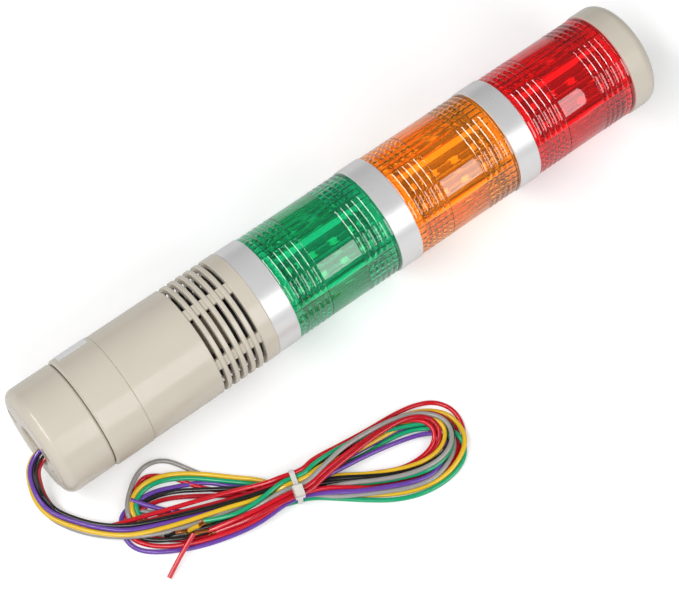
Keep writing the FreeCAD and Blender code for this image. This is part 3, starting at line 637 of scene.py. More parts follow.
LEADS = [
    Lead("red", insulation("red", "#D21527", "#C81123"), bundle_place=0,
         exit_run=[(12.3, -40.6), (21.2, -43.8), (30.1, -47.2), (43.7, -52.2), (57.2, -57.8),
             (68.0, -63.6)],
         outer_loop=[(90.0, -66.6), (103.0, -67.6), (117.0, -68.9), (130.2, -69.4),
             (139.5, -70.6), (147.0, -74.0), (151.0, -80.0), (151.2, -86.5), (148.5, -93.0),
             (141.5, -98.5), (131.0, -100.8), (119.0, -98.6), (107.0, -92.6), (96.0, -85.0),
             (88.0, -79.5)],
         lobe=[(58.0, -72.6), (47.1, -70.6), (33.1, -66.0), (23.0, -60.4), (16.1, -54.0),
             (13.2, -47.6), (15.4, -40.5), (20.5, -34.8), (26.0, -30.6), (31.0, -28.6),
             (36.0, -31.4), (41.5, -38.0), (47.5, -46.5), (55.0, -55.0), (65.0, -62.5)],
         inner_loop=[(92.0, -79.0), (105.0, -84.4), (117.0, -89.8), (127.5, -91.6),
             (135.5, -89.6), (139.3, -84.2), (137.0, -77.8), (128.0, -73.2), (116.0, -72.2),
             (103.0, -72.6), (90.0, -73.4)],
         tail=[(59.4, -70.4), (46.9, -67.3), (38.5, -64.6)],
         tie_slots=[(4.9, 4), (-3.92, 3), (-0.98, 0), (-2.94, 4)],
         tail_height=4.6),
    Lead("red_common", insulation("red_common", "#BF1023", "#B60D1F"), bundle_place=4,
         exit_run=[(11.5, -41.8), (21.7, -46.2), (32.1, -50.8), (48.5, -57.6), (60.0, -62.2),
             (69.0, -66.0)],
         outer_loop=[(90.0, -68.5), (103.0, -69.6), (117.0, -70.6), (128.0, -71.3),
             (137.0, -73.6), (144.1, -77.8), (147.6, -84.0), (147.0, -91.0), (142.0, -97.0),
             (134.0, -99.4), (124.0, -98.2), (112.0, -93.2), (101.0, -86.8), (91.0, -80.2)],
         lobe=[(58.0, -71.0), (46.0, -67.8), (34.0, -63.6), (24.5, -58.4), (17.8, -51.6),
             (15.4, -45.2), (19.8, -39.0), (27.0, -39.6), (34.5, -42.6), (43.0, -48.0),
             (53.0, -54.6), (64.0, -61.8)],
         inner_loop=[(93.0, -79.5), (105.0, -85.4), (117.0, -91.0), (128.0, -93.2),
             (137.0, -91.0), (141.6, -85.5), (139.5, -79.0), (131.0, -74.4), (118.0, -73.0),
             (104.0, -73.6), (90.0, -74.2)],
         tail=[(58.0, -71.4), (48.0, -68.8), (40.5, -66.6)],
         tie_slots=[(3.92, 3), (-2.94, 2), (-2.94, 0), (-4.9, 4)],
         tail_height=3.0),
    Lead("black", insulation("black", "#171716", "#1F1E1D"), bundle_place=5,
         exit_run=[(10.8, -43.0), (23.5, -48.6), (36.3, -54.6), (49.7, -60.0), (60.8, -64.4),
             (69.0, -67.0)],
         outer_loop=[(90.0, -69.5), (103.0, -71.0), (116.0, -72.0), (127.0, -73.2),
             (136.0, -76.0), (142.4, -80.6), (144.6, -87.0), (142.2, -93.0), (136.0, -96.6),
             (127.0, -96.6), (116.0, -92.8), (104.3, -86.2), (93.0, -79.2)],
         lobe=[(57.0, -70.0), (44.0, -66.9), (32.0, -62.2), (22.5, -56.2), (16.0, -49.4),
             (14.4, -43.0), (19.5, -38.6), (28.0, -38.0), (37.0, -41.0), (46.0, -47.0),
             (55.5, -54.2), (65.0, -61.0)],
         inner_loop=[(92.3, -78.4), (104.3, -85.4), (114.0, -91.2), (126.0, -95.6),
             (135.6, -96.4), (142.7, -93.2), (146.0, -87.6), (143.5, -80.6), (135.0, -75.6),
             (122.0, -73.0), (107.0, -71.8), (92.0, -71.6)],
         tail=[(67.0, -71.8), (56.0, -68.6), (46.0, -65.0), (38.0, -62.2), (31.6, -59.0)],
         tie_slots=[(1.96, 3), (-0.98, 2), (0.0, 1), (0.0, 3)],
         tail_height=2.2),
    Lead("yellow", insulation("yellow", "#E9BE2C", "#E2B525"), bundle_place=1,
         exit_run=[(9.4, -44.4), (17.1, -49.5), (29.6, -54.8), (41.2, -58.6), (52.0, -63.0),
             (62.0, -66.5)],
         outer_loop=[(90.0, -67.8), (103.0, -68.6), (117.0, -69.8), (130.0, -71.6),
             (140.0, -75.4), (146.5, -81.8), (148.6, -89.0), (146.0, -96.0), (140.4, -101.0),
             (131.0, -103.4), (120.0, -101.6), (109.0, -96.2), (98.0, -88.8), (90.0, -82.6)],
         lobe=[(68.0, -70.6), (57.0, -68.4), (44.0, -64.0), (32.0, -58.0), (23.0, -51.4),
             (17.6, -44.6), (18.2, -38.2), (22.3, -34.0), (28.0, -32.0), (35.0, -32.4),
             (42.2, -35.8), (50.5, -42.1), (60.6, -52.2), (67.5, -59.4)],
         inner_loop=[(93.0, -77.4), (104.0, -83.6), (114.4, -89.6), (125.0, -93.4),
             (134.6, -93.8), (141.0, -90.4), (142.6, -84.8), (140.0, -79.0), (131.0, -75.6),
             (118.0, -73.8), (104.0, -72.0), (91.0, -70.6)],
         tail=[(67.0, -68.8), (56.2, -66.0), (50.0, -62.9), (42.8, -59.4)],
         tie_slots=[(2.94, 2), (-1.96, 1), (1.96, 1), (0.98, 4)],
         tail_height=3.6),
    Lead("green", insulation("green", "#12A874", "#0F9E6C"), bundle_place=3,
         exit_run=[(9.3, -44.0), (18.0, -48.8), (29.0, -53.6), (41.0, -58.0), (52.0, -62.6),
             (62.0, -66.2)],
         outer_loop=[(90.0, -70.5), (103.0, -74.0), (112.0, -75.9), (119.0, -75.6),
             (130.9, -77.4), (140.1, -82.8), (145.4, -89.4), (145.0, -97.4), (139.0, -103.0),
             (129.0, -104.6), (117.5, -103.4), (107.0, -98.6), (98.0, -91.6), (90.0, -84.6)],
         lobe=[(57.0, -67.4), (45.0, -62.6), (34.0, -56.4), (25.0, -49.4), (18.8, -43.0),
             (20.0, -35.8), (25.0, -33.6), (31.0, -33.3), (37.7, -35.5), (45.7, -40.8),
             (54.4, -48.8), (63.0, -56.8)],
         inner_loop=[(92.0, -80.4), (104.0, -87.4), (115.0, -93.4), (126.0, -97.2),
             (136.0, -96.6), (144.0, -92.6), (142.8, -82.4), (132.0, -75.8), (120.0, -72.4),
             (109.0, -69.4), (98.3, -68.0), (88.0, -67.4)],
         tail=[(67.3, -67.1), (58.1, -67.7), (48.1, -65.7), (39.2, -60.5)],
         tie_slots=[(3.92, 1), (-4.9, 0), (2.94, 0), (2.94, 4)],
         tail_height=5.2, exit_height=4.5),
    Lead("purple", insulation("purple", "#6E45A8", "#653E9C"), bundle_place=6,
         exit_run=[(9.8, -44.0), (17.8, -48.5), (29.2, -53.0), (40.7, -57.6), (52.0, -62.5),
             (62.0, -66.0)],
         outer_loop=[(90.0, -70.5), (103.0, -72.0), (115.0, -72.8), (126.0, -74.6),
             (134.0, -78.5), (139.0, -84.0), (140.0, -91.0), (136.5, -97.0), (128.0, -100.6),
             (118.0, -98.5), (108.0, -93.2), (98.0, -87.0), (90.0, -81.8)],
         lobe=[(58.0, -74.2), (46.7, -71.6), (32.7, -67.0), (20.2, -60.8), (12.8, -55.2),
             (9.8, -49.5), (11.0, -43.0), (16.0, -38.0), (23.6, -35.4), (31.3, -36.4),
             (40.4, -40.0), (49.0, -45.6), (57.5, -53.2), (66.0, -60.5)],
         inner_loop=[(92.0, -79.6), (104.0, -86.2), (114.0, -92.0), (124.0, -96.6),
             (133.2, -97.4), (139.8, -94.0), (139.6, -86.6), (132.6, -82.4), (122.2, -79.4),
             (111.0, -77.2), (98.9, -75.8), (88.0, -75.0)],
         tail=[(57.0, -67.0), (46.0, -60.0), (36.0, -52.6), (27.6, -44.4), (21.0, -34.2)],
         tie_slots=[(4.9, 2), (-4.9, 2), (0.98, 0), (-1.96, 3)],
         tail_height=1.6, exit_height=6.0),
    Lead("grey", insulation("grey", "#A09D99", "#969390"), bundle_place=2,
         exit_run=[(9.0, -45.0), (20.5, -52.7), (29.6, -56.6), (41.8, -60.6), (50.0, -63.0),
             (61.0, -66.0)],
         outer_loop=[(90.0, -69.0), (103.0, -70.0), (116.0, -71.0), (128.0, -72.2),
             (137.0, -75.5), (143.0, -81.0), (144.5, -88.0), (141.9, -94.5), (136.0, -99.4),
             (127.0, -101.3), (117.0, -99.0), (107.0, -94.6), (97.0, -88.6), (89.0, -83.0)],
         lobe=[(56.0, -69.0), (43.0, -65.4), (30.5, -60.0), (21.0, -53.6), (15.0, -46.8),
             (15.4, -40.6), (20.4, -35.6), (24.6, -30.4), (28.6, -26.6), (33.6, -24.9),
             (39.0, -25.8), (43.4, -29.0), (46.6, -34.4), (50.5, -42.0), (57.0, -51.0),
             (65.5, -59.5)],
         inner_loop=[(89.0, -78.0), (96.0, -82.0), (107.0, -88.6), (119.0, -94.6),
             (131.0, -97.4), (139.5, -95.4), (144.0, -90.0), (143.8, -83.5), (138.5, -77.0),
             (129.0, -72.6), (117.0, -70.4), (103.8, -69.3), (91.3, -71.1)],
         tail=[(66.5, -70.2), (57.0, -67.6), (47.0, -61.0), (37.0, -53.6), (28.0, -46.0),
             (17.8, -36.5)],
         tie_slots=[(0.98, 2), (-3.92, 1), (4.9, 0), (-0.98, 4)],
         tail_height=1.4),
]


def bundle_frames(points: list[Vector]) -> list[tuple[Vector, Vector]]:
    """Carry two cross directions along a route without twist.

    Args:
        points: The route.

    Returns:
        The two directions at each of its points.
    """
    frames = []
    side = Vector((0, 1, 0))
    for i, point in enumerate(points):
        before = point - points[max(i - 1, 0)]
        after = points[min(i + 1, len(points) - 1)] - point
        along = (before.normalized() + after.normalized()).normalized()
        side = (side - along * side.dot(along)).normalized()
        frames.append((side, along.cross(side)))
    return frames


def bundle_run(lead: Lead) -> list[Vector]:
    """Route a lead from the grommet to the hank: one in the middle of six.

    Args:
        lead: The lead.

    Returns:
        Its points in the tower's millimetres.
    """
    centre = [Vector(point) for point in BUNDLE_ROUTE]
    reach = LEAD_SPACING if lead.bundle_place > 0 else 0.0
    points = []
    for i, (point, (side, up)) in enumerate(zip(centre, bundle_frames(centre))):
        wound = BUNDLE_WIND * min(max((i - WIND_FROM) / WIND_OVER, 0.0), 1.0)
        angle = math.radians(60 * (lead.bundle_place - 1) + wound)
        points.append(point + side * (reach * math.cos(angle)) + up * (reach * math.sin(angle)))
    return points


class HankRoute:
    """Control points of one lead; those of the bundle and in the tie are marked as fixed."""

    # Heights above the floor at which the runs start before they settle.
    EXIT_END = 8.0
    OUTER_LOOP = 2.0
    LOBE = 1.2
    INNER_LOOP = 4.2
    TAIL_START = 7.0

    def __init__(self, lead: Lead) -> None:
        """Lay out the lead's runs and its four passes through the tie.

        Args:
            lead: The lead to lay out.
        """
        self.lead = lead
        self.points: list[tuple[float, float, float]] = []
        self.fixed: list[bool] = []
        for point in bundle_run(lead):
            self.put(point, True)
        self.run(lead.exit_run, lead.exit_height, self.EXIT_END)
        self.through_tie(0, 1)
        self.run(lead.outer_loop, self.OUTER_LOOP, self.OUTER_LOOP)
        self.through_tie(1, -1)
        self.run(lead.lobe, self.LOBE, self.LOBE)
        self.through_tie(2, 1)
        self.run(lead.inner_loop, self.INNER_LOOP, self.INNER_LOOP)
        self.through_tie(3, -1)
        self.run(lead.tail, self.TAIL_START, lead.tail_height)

    def put(self, point: Vector, fixed: bool) -> None:
        """Add one control point."""
        self.points.append(tuple(point))
        self.fixed.append(fixed)

    def run(self, plan: Plan, first: float, last: float) -> None:
        """Add the points of a free run.

        Args:
            plan: Its places in plan.
            first: Height above the floor where it starts.
            last: Height above the floor where it ends.
        """
        for i, (x, y) in enumerate(plan):
            share = i / max(len(plan) - 1, 1)
            self.put(Vector((x, y, FLOOR + first + (last - first) * share)), False)

    def through_tie(self, turn: int, direction: int) -> None:
        """Add the straight stretch inside the tie, at the lead's place there.

        Args:
            turn: Number of the pass, from 0.
            direction: 1 away from the foot, -1 back towards it.
        """
        across, row = self.lead.tie_slots[turn]
        along = Vector((math.cos(TIE_TURN), math.sin(TIE_TURN), 0))
        side = Vector((-math.sin(TIE_TURN), math.cos(TIE_TURN), 0))
        height = FLOOR + TIE_BASE + LEAD_DIAMETER / 2 + row * ROW_HEIGHT
        centre = Vector((*TIE_PLACE, height)) + side * across
        for step in (-1, 1):
            self.put(centre + along * (step * direction * TIE_REACH), True)


class LeadBundle:
    """Lets the leads settle on the floor and on each other."""

    # Samples along each span of a lead, and how many steps one search for contacts serves.
    SAMPLES = 5
    SEARCH_EVERY = 4
    SEARCH_BLOCK = 400
    # Samples of one lead that are nearer than this along it are never in contact.
    NEIGHBOURS = 12
    # In lead diameters: reach of the search, distance kept, and what counts as too close.
    SEARCH_REACH = 1.6
    KEPT_DISTANCE = 1.02
    TOO_CLOSE = 0.9
    # How much leads rather part upwards than sideways, and how strongly they part.
    UPWARD = 1.6
    PARTING = 2.0
    # Millimetres that a point sinks in a step, and the most that it moves in all.
    SINKING = 0.03
    LARGEST_MOVE = 0.4
    # Shares of the way back to the plan and to an even height, taken in a step.
    HOMING = 0.03
    EVENING = 0.12

    def __init__(self, routes: list[HankRoute]) -> None:
        """Put the control points of all leads in one array.

        Args:
            routes: The leads' routes.
        """
        self.points = np.array([p for r in routes for p in r.points])
        self.home = self.points.copy()
        self.fixed = np.array([f for r in routes for f in r.fixed])
        sizes = [len(r.points) for r in routes]
        self.starts = np.concatenate([[0], np.cumsum(sizes)])
        self.basis = self.make_basis()
        self.weight = self.basis.sum(axis=0)
        self.lead_of = np.concatenate([np.full((n - 2) * self.SAMPLES, i)
                                       for i, n in enumerate(sizes)])
        self.place_of = np.concatenate([np.arange((n - 2) * self.SAMPLES) for n in sizes])

    def make_basis(self) -> np.ndarray:
        """Weigh every lead's control points for the samples of its quadratic curve.

        Returns:
            A row of weights for each sample.
        """
        rows = []
        total = len(self.points)
        for start, end in zip(self.starts[:-1], self.starts[1:]):
            for span in range(end - start - 2):
                for k in range(self.SAMPLES):
                    t = (k + 0.5) / self.SAMPLES
                    row = np.zeros(total)
                    row[start + span:start + span + 3] = [(1 - t) ** 2 / 2, 0.5 + t - t * t,
                                                          t * t / 2]
                    rows.append(row)
        return np.array(rows)

    def contacts(self, samples: np.ndarray, reach: float) -> tuple[np.ndarray, np.ndarray]:
        """Find pairs of samples that are close, apart from neighbours on one lead.

        Args:
            samples: Points along all leads.
            reach: Largest distance of a pair.

        Returns:
            Indices of the first and of the second sample of each pair.
        """
        found = []
        for block in range(0, len(samples), self.SEARCH_BLOCK):
            part = samples[block:block + self.SEARCH_BLOCK]
            gap = ((part[:, None, :] - samples[None, :, :]) ** 2).sum(axis=2)
            i, j = np.nonzero(gap < reach * reach)
            i += block
            near = ((self.lead_of[i] == self.lead_of[j])
                    & (abs(self.place_of[i] - self.place_of[j]) < self.NEIGHBOURS))
            keep = (i < j) & ~near
            found.append(np.stack([i[keep], j[keep]]))
        pairs = np.concatenate(found, axis=1)
        return pairs[0], pairs[1]

    def parting(self, samples: np.ndarray, first: np.ndarray, second: np.ndarray) -> np.ndarray:
        """Work out how far samples that are too close move apart.

        Args:
            samples: Points along all leads.
            first: Index of the first sample of each pair.
            second: Index of the second sample of each pair.

        Returns:
            The move of each sample.
        """
        gap = samples[first] - samples[second]
        distance = np.linalg.norm(gap, axis=1) + 1e-6
        short = np.clip(LEAD_DIAMETER * self.KEPT_DISTANCE - distance, 0, None)
        gap[:, 2] *= self.UPWARD
        gap /= np.linalg.norm(gap, axis=1)[:, None] + 1e-6
        push = gap * (short * 0.5)[:, None]
        moves = np.zeros_like(samples)
        count = np.zeros(len(samples))
        for index, move in ((first, push), (second, -push)):
            np.add.at(moves, index, move)
            np.add.at(count, index, short > 0)
        return moves / np.maximum(count, 1)[:, None]

    def evening(self) -> np.ndarray:
        """Work out the pull of each point towards the height between its neighbours.

        Returns:
            The whole way there for each control point.
        """
        pull = np.zeros_like(self.points)
        for start, end in zip(self.starts[:-1], self.starts[1:]):
            z = self.points[start:end, 2]
            pull[start + 1:end - 1, 2] = (z[:-2] + z[2:]) / 2 - z[1:-1]
        return pull

    def settle(self, steps: int) -> None:
        """Sink the leads, push crossing ones apart and keep each one smooth.

        Args:
            steps: Number of steps.
        """
        first = second = np.zeros(0, dtype=int)
        for step in range(steps):
            samples = self.basis @ self.points
            if step % self.SEARCH_EVERY == 0:
                first, second = self.contacts(samples, LEAD_DIAMETER * self.SEARCH_REACH)
            moves = self.parting(samples, first, second)
            change = (self.basis.T @ moves) / self.weight[:, None] * self.PARTING
            change[:, 2] -= self.SINKING
            change[:, :2] += (self.home - self.points)[:, :2] * self.HOMING
            change += self.evening() * self.EVENING
            change[self.fixed] = 0
            self.points += np.clip(change, -self.LARGEST_MOVE, self.LARGEST_MOVE)
            self.points[:, 2] = np.maximum(self.points[:, 2], FLOOR + LEAD_DIAMETER / 2)
        samples = self.basis @ self.points
        pairs = self.contacts(samples, LEAD_DIAMETER * self.TOO_CLOSE)
        log.info("leads settled, %d pairs of %d samples are closer than %.1f diameters",
                 len(pairs[0]), len(samples), self.TOO_CLOSE)

    def of(self, index: int) -> np.ndarray:
        """Give the settled control points of one lead."""
        return self.points[self.starts[index]:self.starts[index + 1]]


def add_tube(name: str, points: list[Vector], radius: float,
             material: bpy.types.Material) -> bpy.types.Object:
    """Draw a round tube along one open smooth spline.

    Args:
        name: Name of the piece.
        points: Control points in the row frame.
        radius: Radius in metres.
        material: Its material.

    Returns:
        The curve object.
    """
    data = bpy.data.curves.new(name, "CURVE")
    data.dimensions = "3D"
    spline = data.splines.new("NURBS")
    spline.points.add(len(points) - 1)
    for knot, point in zip(spline.points, points):
        knot.co = (*point, 1.0)
    spline.order_u = 3
    spline.use_endpoint_u = True
    spline.resolution_u = 6
    data.bevel_depth = radius
    data.bevel_resolution = 4
    data.use_fill_caps = True
    data.materials.append(material)
    return add_object(name, data)


def spline_length(control: np.ndarray) -> float:
    """Measure a clamped quadratic spline by fine samples.

    Args:
        control: Its control points in millimetres.

    Returns:
        Its length in metres.
    """
    fine = 12
    total = 0.0
    last = control[0]
    spans = len(control) - 2
    for span in range(spans):
        a, b, c = control[span:span + 3]
        start = a if span == 0 else (a + b) / 2
        end = c if span == spans - 1 else (b + c) / 2
        for k in range(fine + 1):
            t = k / fine
            here = start * (1 - t) ** 2 + b * 2 * t * (1 - t) + end * t * t
            total += float(np.linalg.norm(here - last))
            last = here
    return total * MM


class NodeShape:
    """A geometry node tree with named sizes, run once on a starting path."""

    def __init__(self, name: str, sizes: dict[str, float]) -> None:
        """Start a tree.

        Args:
            name: Name of the tree.
            sizes: Named inputs with their values.
        """
        self.name = name
        self.sizes = sizes
        self.tree = bpy.data.node_groups.new(name, "GeometryNodeTree")
        sockets = [("Geometry", "INPUT", "NodeSocketGeometry"),
                   *((label, "INPUT", "NodeSocketFloat") for label in sizes),
                   ("Geometry", "OUTPUT", "NodeSocketGeometry")]
        for label, side, kind in sockets:
            self.tree.interface.new_socket(label, in_out=side, socket_type=kind)
        self.add = partial(add_node, self.tree)
        self.start = self.add("NodeGroupInput").outputs

    def run(self, shape: bpy.types.Node, path: list[Vector],
            material: bpy.types.Material) -> bpy.types.Object:
        """End the tree and turn its result into a plain mesh.

        Args:
            shape: The node that gives the finished geometry.
            path: Points in the row frame that the tree starts from.
            material: Material of the result.

        Returns:
            The mesh object, without the modifier.
        """
        real = self.add("GeometryNodeRealizeInstances", {"Geometry": shape})
        dressed = self.add("GeometryNodeSetMaterial", {"Geometry": real, "Material": material})
        self.add("NodeGroupOutput", {"Geometry": dressed})
        mesh = bpy.data.meshes.new(self.name)
        mesh.from_pydata([tuple(p) for p in path], [(i, i + 1) for i in range(len(path) - 1)], [])
        holder = add_object(self.name, mesh)
        modifier = holder.modifiers.new(self.name, "NODES")
        modifier.node_group = self.tree
        for item in self.tree.interface.items_tree:
            if item.in_out == "INPUT" and item.name in self.sizes:
                modifier[item.identifier] = self.sizes[item.name]
        evaluated = holder.evaluated_get(bpy.context.evaluated_depsgraph_get())
        result = bpy.data.meshes.new_from_object(evaluated)
        holder.modifiers.remove(modifier)
        holder.data = result
        if not result.materials:
            result.materials.append(material)
        return holder


@dataclass
class StrandedEnd:
    """Bare twisted strands that stick out of a lead's cut insulation."""

    strands: int = 7
    strand_radius: float = 0.22
    wind_radius: float = 0.47
    turns_per_mm: float = 0.11
    # Share by which the strands spread towards their ends.
    splay: float = 0.35
    steps: int = 14

    def build(self, name: str, path: list[Vector],
              material: bpy.types.Material) -> bpy.types.Object:
        """Twist the strands round a middle one.

        Args:
            name: Name of the piece.
            path: Points in the row frame along the middle strand.
            material: Material of the strands.

        Returns:
            The strands as one mesh.
        """
        length = sum((b - a).length for a, b in zip(path, path[1:])) / MM
        shape = NodeShape(name, {"Strand Radius": self.strand_radius * MM,
                                 "Wind Radius": self.wind_radius * MM,
                                 "Turns": self.turns_per_mm * length, "Splay": self.splay})
        add, start = shape.add, shape.start
        line = add("GeometryNodeMeshToCurve", {"Mesh": start["Geometry"]})
        core = add("GeometryNodeResampleCurve", {"Curve": line, "Count": self.steps})
        copies = add("GeometryNodeDuplicateElements", {"Geometry": core,
                                                       "Amount": self.strands - 1},
                     domain="SPLINE")
        factor = add("GeometryNodeSplineParameter").outputs["Factor"]
        share = add("ShaderNodeMath", {0: copies.outputs["Duplicate Index"],
                                       1: 1.0 / (self.strands - 1)}, operation="MULTIPLY")
        turned = add("ShaderNodeMath", {0: factor, 1: start["Turns"], 2: share},
                     operation="MULTIPLY_ADD")
        angle = add("ShaderNodeMath", {0: turned, 1: 2 * math.pi}, operation="MULTIPLY")
        flare = add("ShaderNodeMath", {0: factor, 1: start["Splay"], 2: 1.0},
                    operation="MULTIPLY_ADD")
        reach = add("ShaderNodeMath", {0: flare, 1: start["Wind Radius"]}, operation="MULTIPLY")
        normal = add("GeometryNodeInputNormal")
        tangent = add("GeometryNodeInputTangent")
        binormal = add("ShaderNodeVectorMath", {0: normal, 1: tangent},
                       operation="CROSS_PRODUCT")
        parts = []
        for direction, wave in ((normal, "COSINE"), (binormal, "SINE")):
            size = add("ShaderNodeMath", {0: angle}, operation=wave)
            parts.append(add("ShaderNodeVectorMath", {0: direction, "Scale": size},
                             operation="SCALE"))
        both = add("ShaderNodeVectorMath", dict(enumerate(parts)), operation="ADD")
        offset = add("ShaderNodeVectorMath", {0: both, "Scale": reach}, operation="SCALE")
        wound = add("GeometryNodeSetPosition", {"Geometry": copies, "Offset": offset})
        joined = add("GeometryNodeJoinGeometry", {"Geometry": [core, wound]})
        ring = add("GeometryNodeCurvePrimitiveCircle", {"Resolution": 8,
                                                        "Radius": start["Strand Radius"]})
        tube = add("GeometryNodeCurveToMesh", {"Curve": joined, "Profile Curve": ring,
                                               "Fill Caps": True})
        return shape.run(tube, path, material)


@dataclass
class CableTie:
    """Natural nylon tie: a rounded band with ridges, and its lock with a sunk window."""

    width: float = 2.2
    inner_width: float = 11.8
    # Heights above the floor of the inside of the band.
    low: float = 1.0
    high: float = 10.0
    thickness: float = 0.86
    corner: float = 2.6
    corner_steps: int = 8
    edge: float = 0.18
    band_sharp_angle: float = 35.0
    ridge_pitch: float = 1.1
    ridge_height: float = 0.14
    lock_length: float = 4.2
    lock_width: float = 5.4
    lock_height: float = 3.4
    # How far the lock overhangs the side of the band, and how deep it sits on it.
    lock_overhang: float = 1.3
    lock_seat: float = 0.2
    lock_bevel: float = 0.35
    lock_sharp_angle: float = 40.0
    lock_crease_angle: float = 35.0
    window_frame: float = 1.3
    window_depth: float = 1.1

    def local(self, along: float, across: float, up: float) -> Vector:
        """Turn a point of the tie into the row frame.

        Args:
            along: Distance along the leads.
            across: Distance across the hank.
            up: Height above the floor.

        Returns:
            The point in the row frame.
        """
        x = TIE_PLACE[0] + along * math.cos(TIE_TURN) - across * math.sin(TIE_TURN)
        y = TIE_PLACE[1] + along * math.sin(TIE_TURN) + across * math.cos(TIE_TURN)
        return place(x, y, FLOOR + up)

    def band_path(self, offset: float) -> Plan:
        """Draw a closed rounded path round the leads.

        Args:
            offset: Distance outwards from the inside of the band.

        Returns:
            Points across and up, in order.
        """
        half, reach = self.inner_width / 2, self.corner + offset
        points = []
        for across, up, start in ((half, self.high, 0), (-half, self.high, 90),
                                  (-half, self.low, 180), (half, self.low, 270)):
            centre_across = across - math.copysign(self.corner, across)
            centre_up = up - self.corner if up == self.high else up + self.corner
            for step in range(self.corner_steps + 1):
                angle = math.radians(start + step * 90 / self.corner_steps)
                points.append((centre_across + reach * math.cos(angle),
                               centre_up + reach * math.sin(angle)))
        return points

    def band(self, material: bpy.types.Material) -> bpy.types.Object:
        """Sweep the band's section with eased edges round the leads.

        Args:
            material: Material of the band.

        Returns:
            The band.
        """
        half, edge, thick = self.width / 2, self.edge, self.thickness
        section = [(-half + edge, 0.0), (half - edge, 0.0), (half, edge), (half, thick - edge),
                   (half - edge, thick), (-half + edge, thick), (-half, thick - edge),
                   (-half, edge)]
        rings = [self.band_path(out) for _, out in section]
        count, wide = len(rings[0]), len(section)
        vertices = [self.local(along, *ring[i]) for i in range(count)
                    for (along, _), ring in zip(section, rings)]
        faces = []
        for i in range(count):
            here, there = i * wide, (i + 1) % count * wide
            for k in range(wide):
                m = (k + 1) % wide
                faces.append((here + k, here + m, there + m, there + k))
        return add_mesh("tie_band", vertices, faces, material, self.band_sharp_angle)

    def ridges(self, material: bpy.types.Material) -> bpy.types.Object:
        """Lay fine cross ridges along the outside of the band.

        Args:
            material: Material of the ridges.

        Returns:
            The ridges as one mesh.
        """
        ring = self.band_path(self.thickness)
        path = [self.local(0.0, *point) for point in ring + ring[:1]]
        shape = NodeShape("tie_ridges", {"Pitch": self.ridge_pitch * MM,
                                         "Height": self.ridge_height * MM,
                                         "Width": (self.width - 4 * self.edge) * MM})
        add, start = shape.add, shape.start
        line = add("GeometryNodeMeshToCurve", {"Mesh": start["Geometry"]})
        spots = add("GeometryNodeCurveToPoints", {"Curve": line, "Length": start["Pitch"]},
                    mode="LENGTH")
        along = (math.cos(TIE_TURN), math.sin(TIE_TURN), 0.0)
        half = add("ShaderNodeMath", {0: start["Width"], 1: 0.5}, operation="MULTIPLY")
        ends = {}
        for label, sign in (("Start", -1.0), ("End", 1.0)):
            reach = add("ShaderNodeMath", {0: half, 1: sign}, operation="MULTIPLY")
            ends[label] = add("ShaderNodeVectorMath", {0: along, "Scale": reach},
                              operation="SCALE")
        bar = add("GeometryNodeCurvePrimitiveLine", ends)
        round_section = add("GeometryNodeCurvePrimitiveCircle", {"Resolution": 8,
                                                                 "Radius": start["Height"]})
        rod = add("GeometryNodeCurveToMesh", {"Curve": bar, "Profile Curve": round_section,
                                              "Fill Caps": True})
        laid = add("GeometryNodeInstanceOnPoints", {"Points": spots, "Instance": rod})
        return shape.run(laid, path, material)

    def lock(self, material: bpy.types.Material) -> bpy.types.Object:
        """Build the lock: an eased block with a sunk window.

        Args:
            material: Material of the lock.

        Returns:
            The lock.
        """
        half_along, half_across = self.lock_length / 2, self.lock_width / 2
        base, top = self.high - self.lock_seat, self.high + self.lock_height
        middle = -self.inner_width / 2 + half_across - self.lock_overhang
        block = bmesh.new()
        corners = [block.verts.new(self.local(along, middle + across, up))
                   for up in (base, top)
                   for along, across in ((-half_along, -half_across), (half_along, -half_across),
                                         (half_along, half_across), (-half_along, half_across))]
        block.faces.new(corners[3::-1])
        roof = block.faces.new(corners[4:])
        for k in range(4):
            m = (k + 1) % 4
            block.faces.new((corners[k], corners[m], corners[4 + m], corners[4 + k]))
        bmesh.ops.inset_region(block, faces=[roof], thickness=self.window_frame * MM)
        bmesh.ops.translate(block, verts=roof.verts, vec=(0.0, 0.0, -self.window_depth * MM))
        creases = [edge for edge in block.edges
                   if math.degrees(edge.calc_face_angle(0.0)) > self.lock_crease_angle]
        bmesh.ops.bevel(block, geom=creases, offset=self.lock_bevel * MM, segments=3,
                        profile=0.5, affect="EDGES")
        bmesh.ops.recalc_face_normals(block, faces=block.faces)
        mesh = bpy.data.meshes.new("tie_lock")
        block.to_mesh(mesh)
        block.free()
        return add_smooth(mesh, material, self.lock_sharp_angle)

    def build(self, library: MaterialLibrary) -> list[bpy.types.Object]:
        """Make the tie's pieces in place of its plain solid.

        Args:
            library: Where the materials come from.

        Returns:
            The band, its ridges and the lock.
        """
        nylon = library.get(Surface.NYLON.value)
        pieces = [self.band(nylon), self.ridges(nylon), self.lock(nylon)]
        for piece in pieces:
            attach(piece, "tower")
            log.info("%s has %d faces", piece.name, len(piece.data.polygons))
        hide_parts("cable_tie")
        return pieces


@dataclass(frozen=True)
class Slug:
    """Pulled-off end of a lead's insulation; places are in plan, heights above the floor."""

    lead: str
    # CAD node that it stands for, which it replaces if that is the stripped tail.
    node: str
    inner_end: tuple[float, float, float]
    outer_end: tuple[float, float]


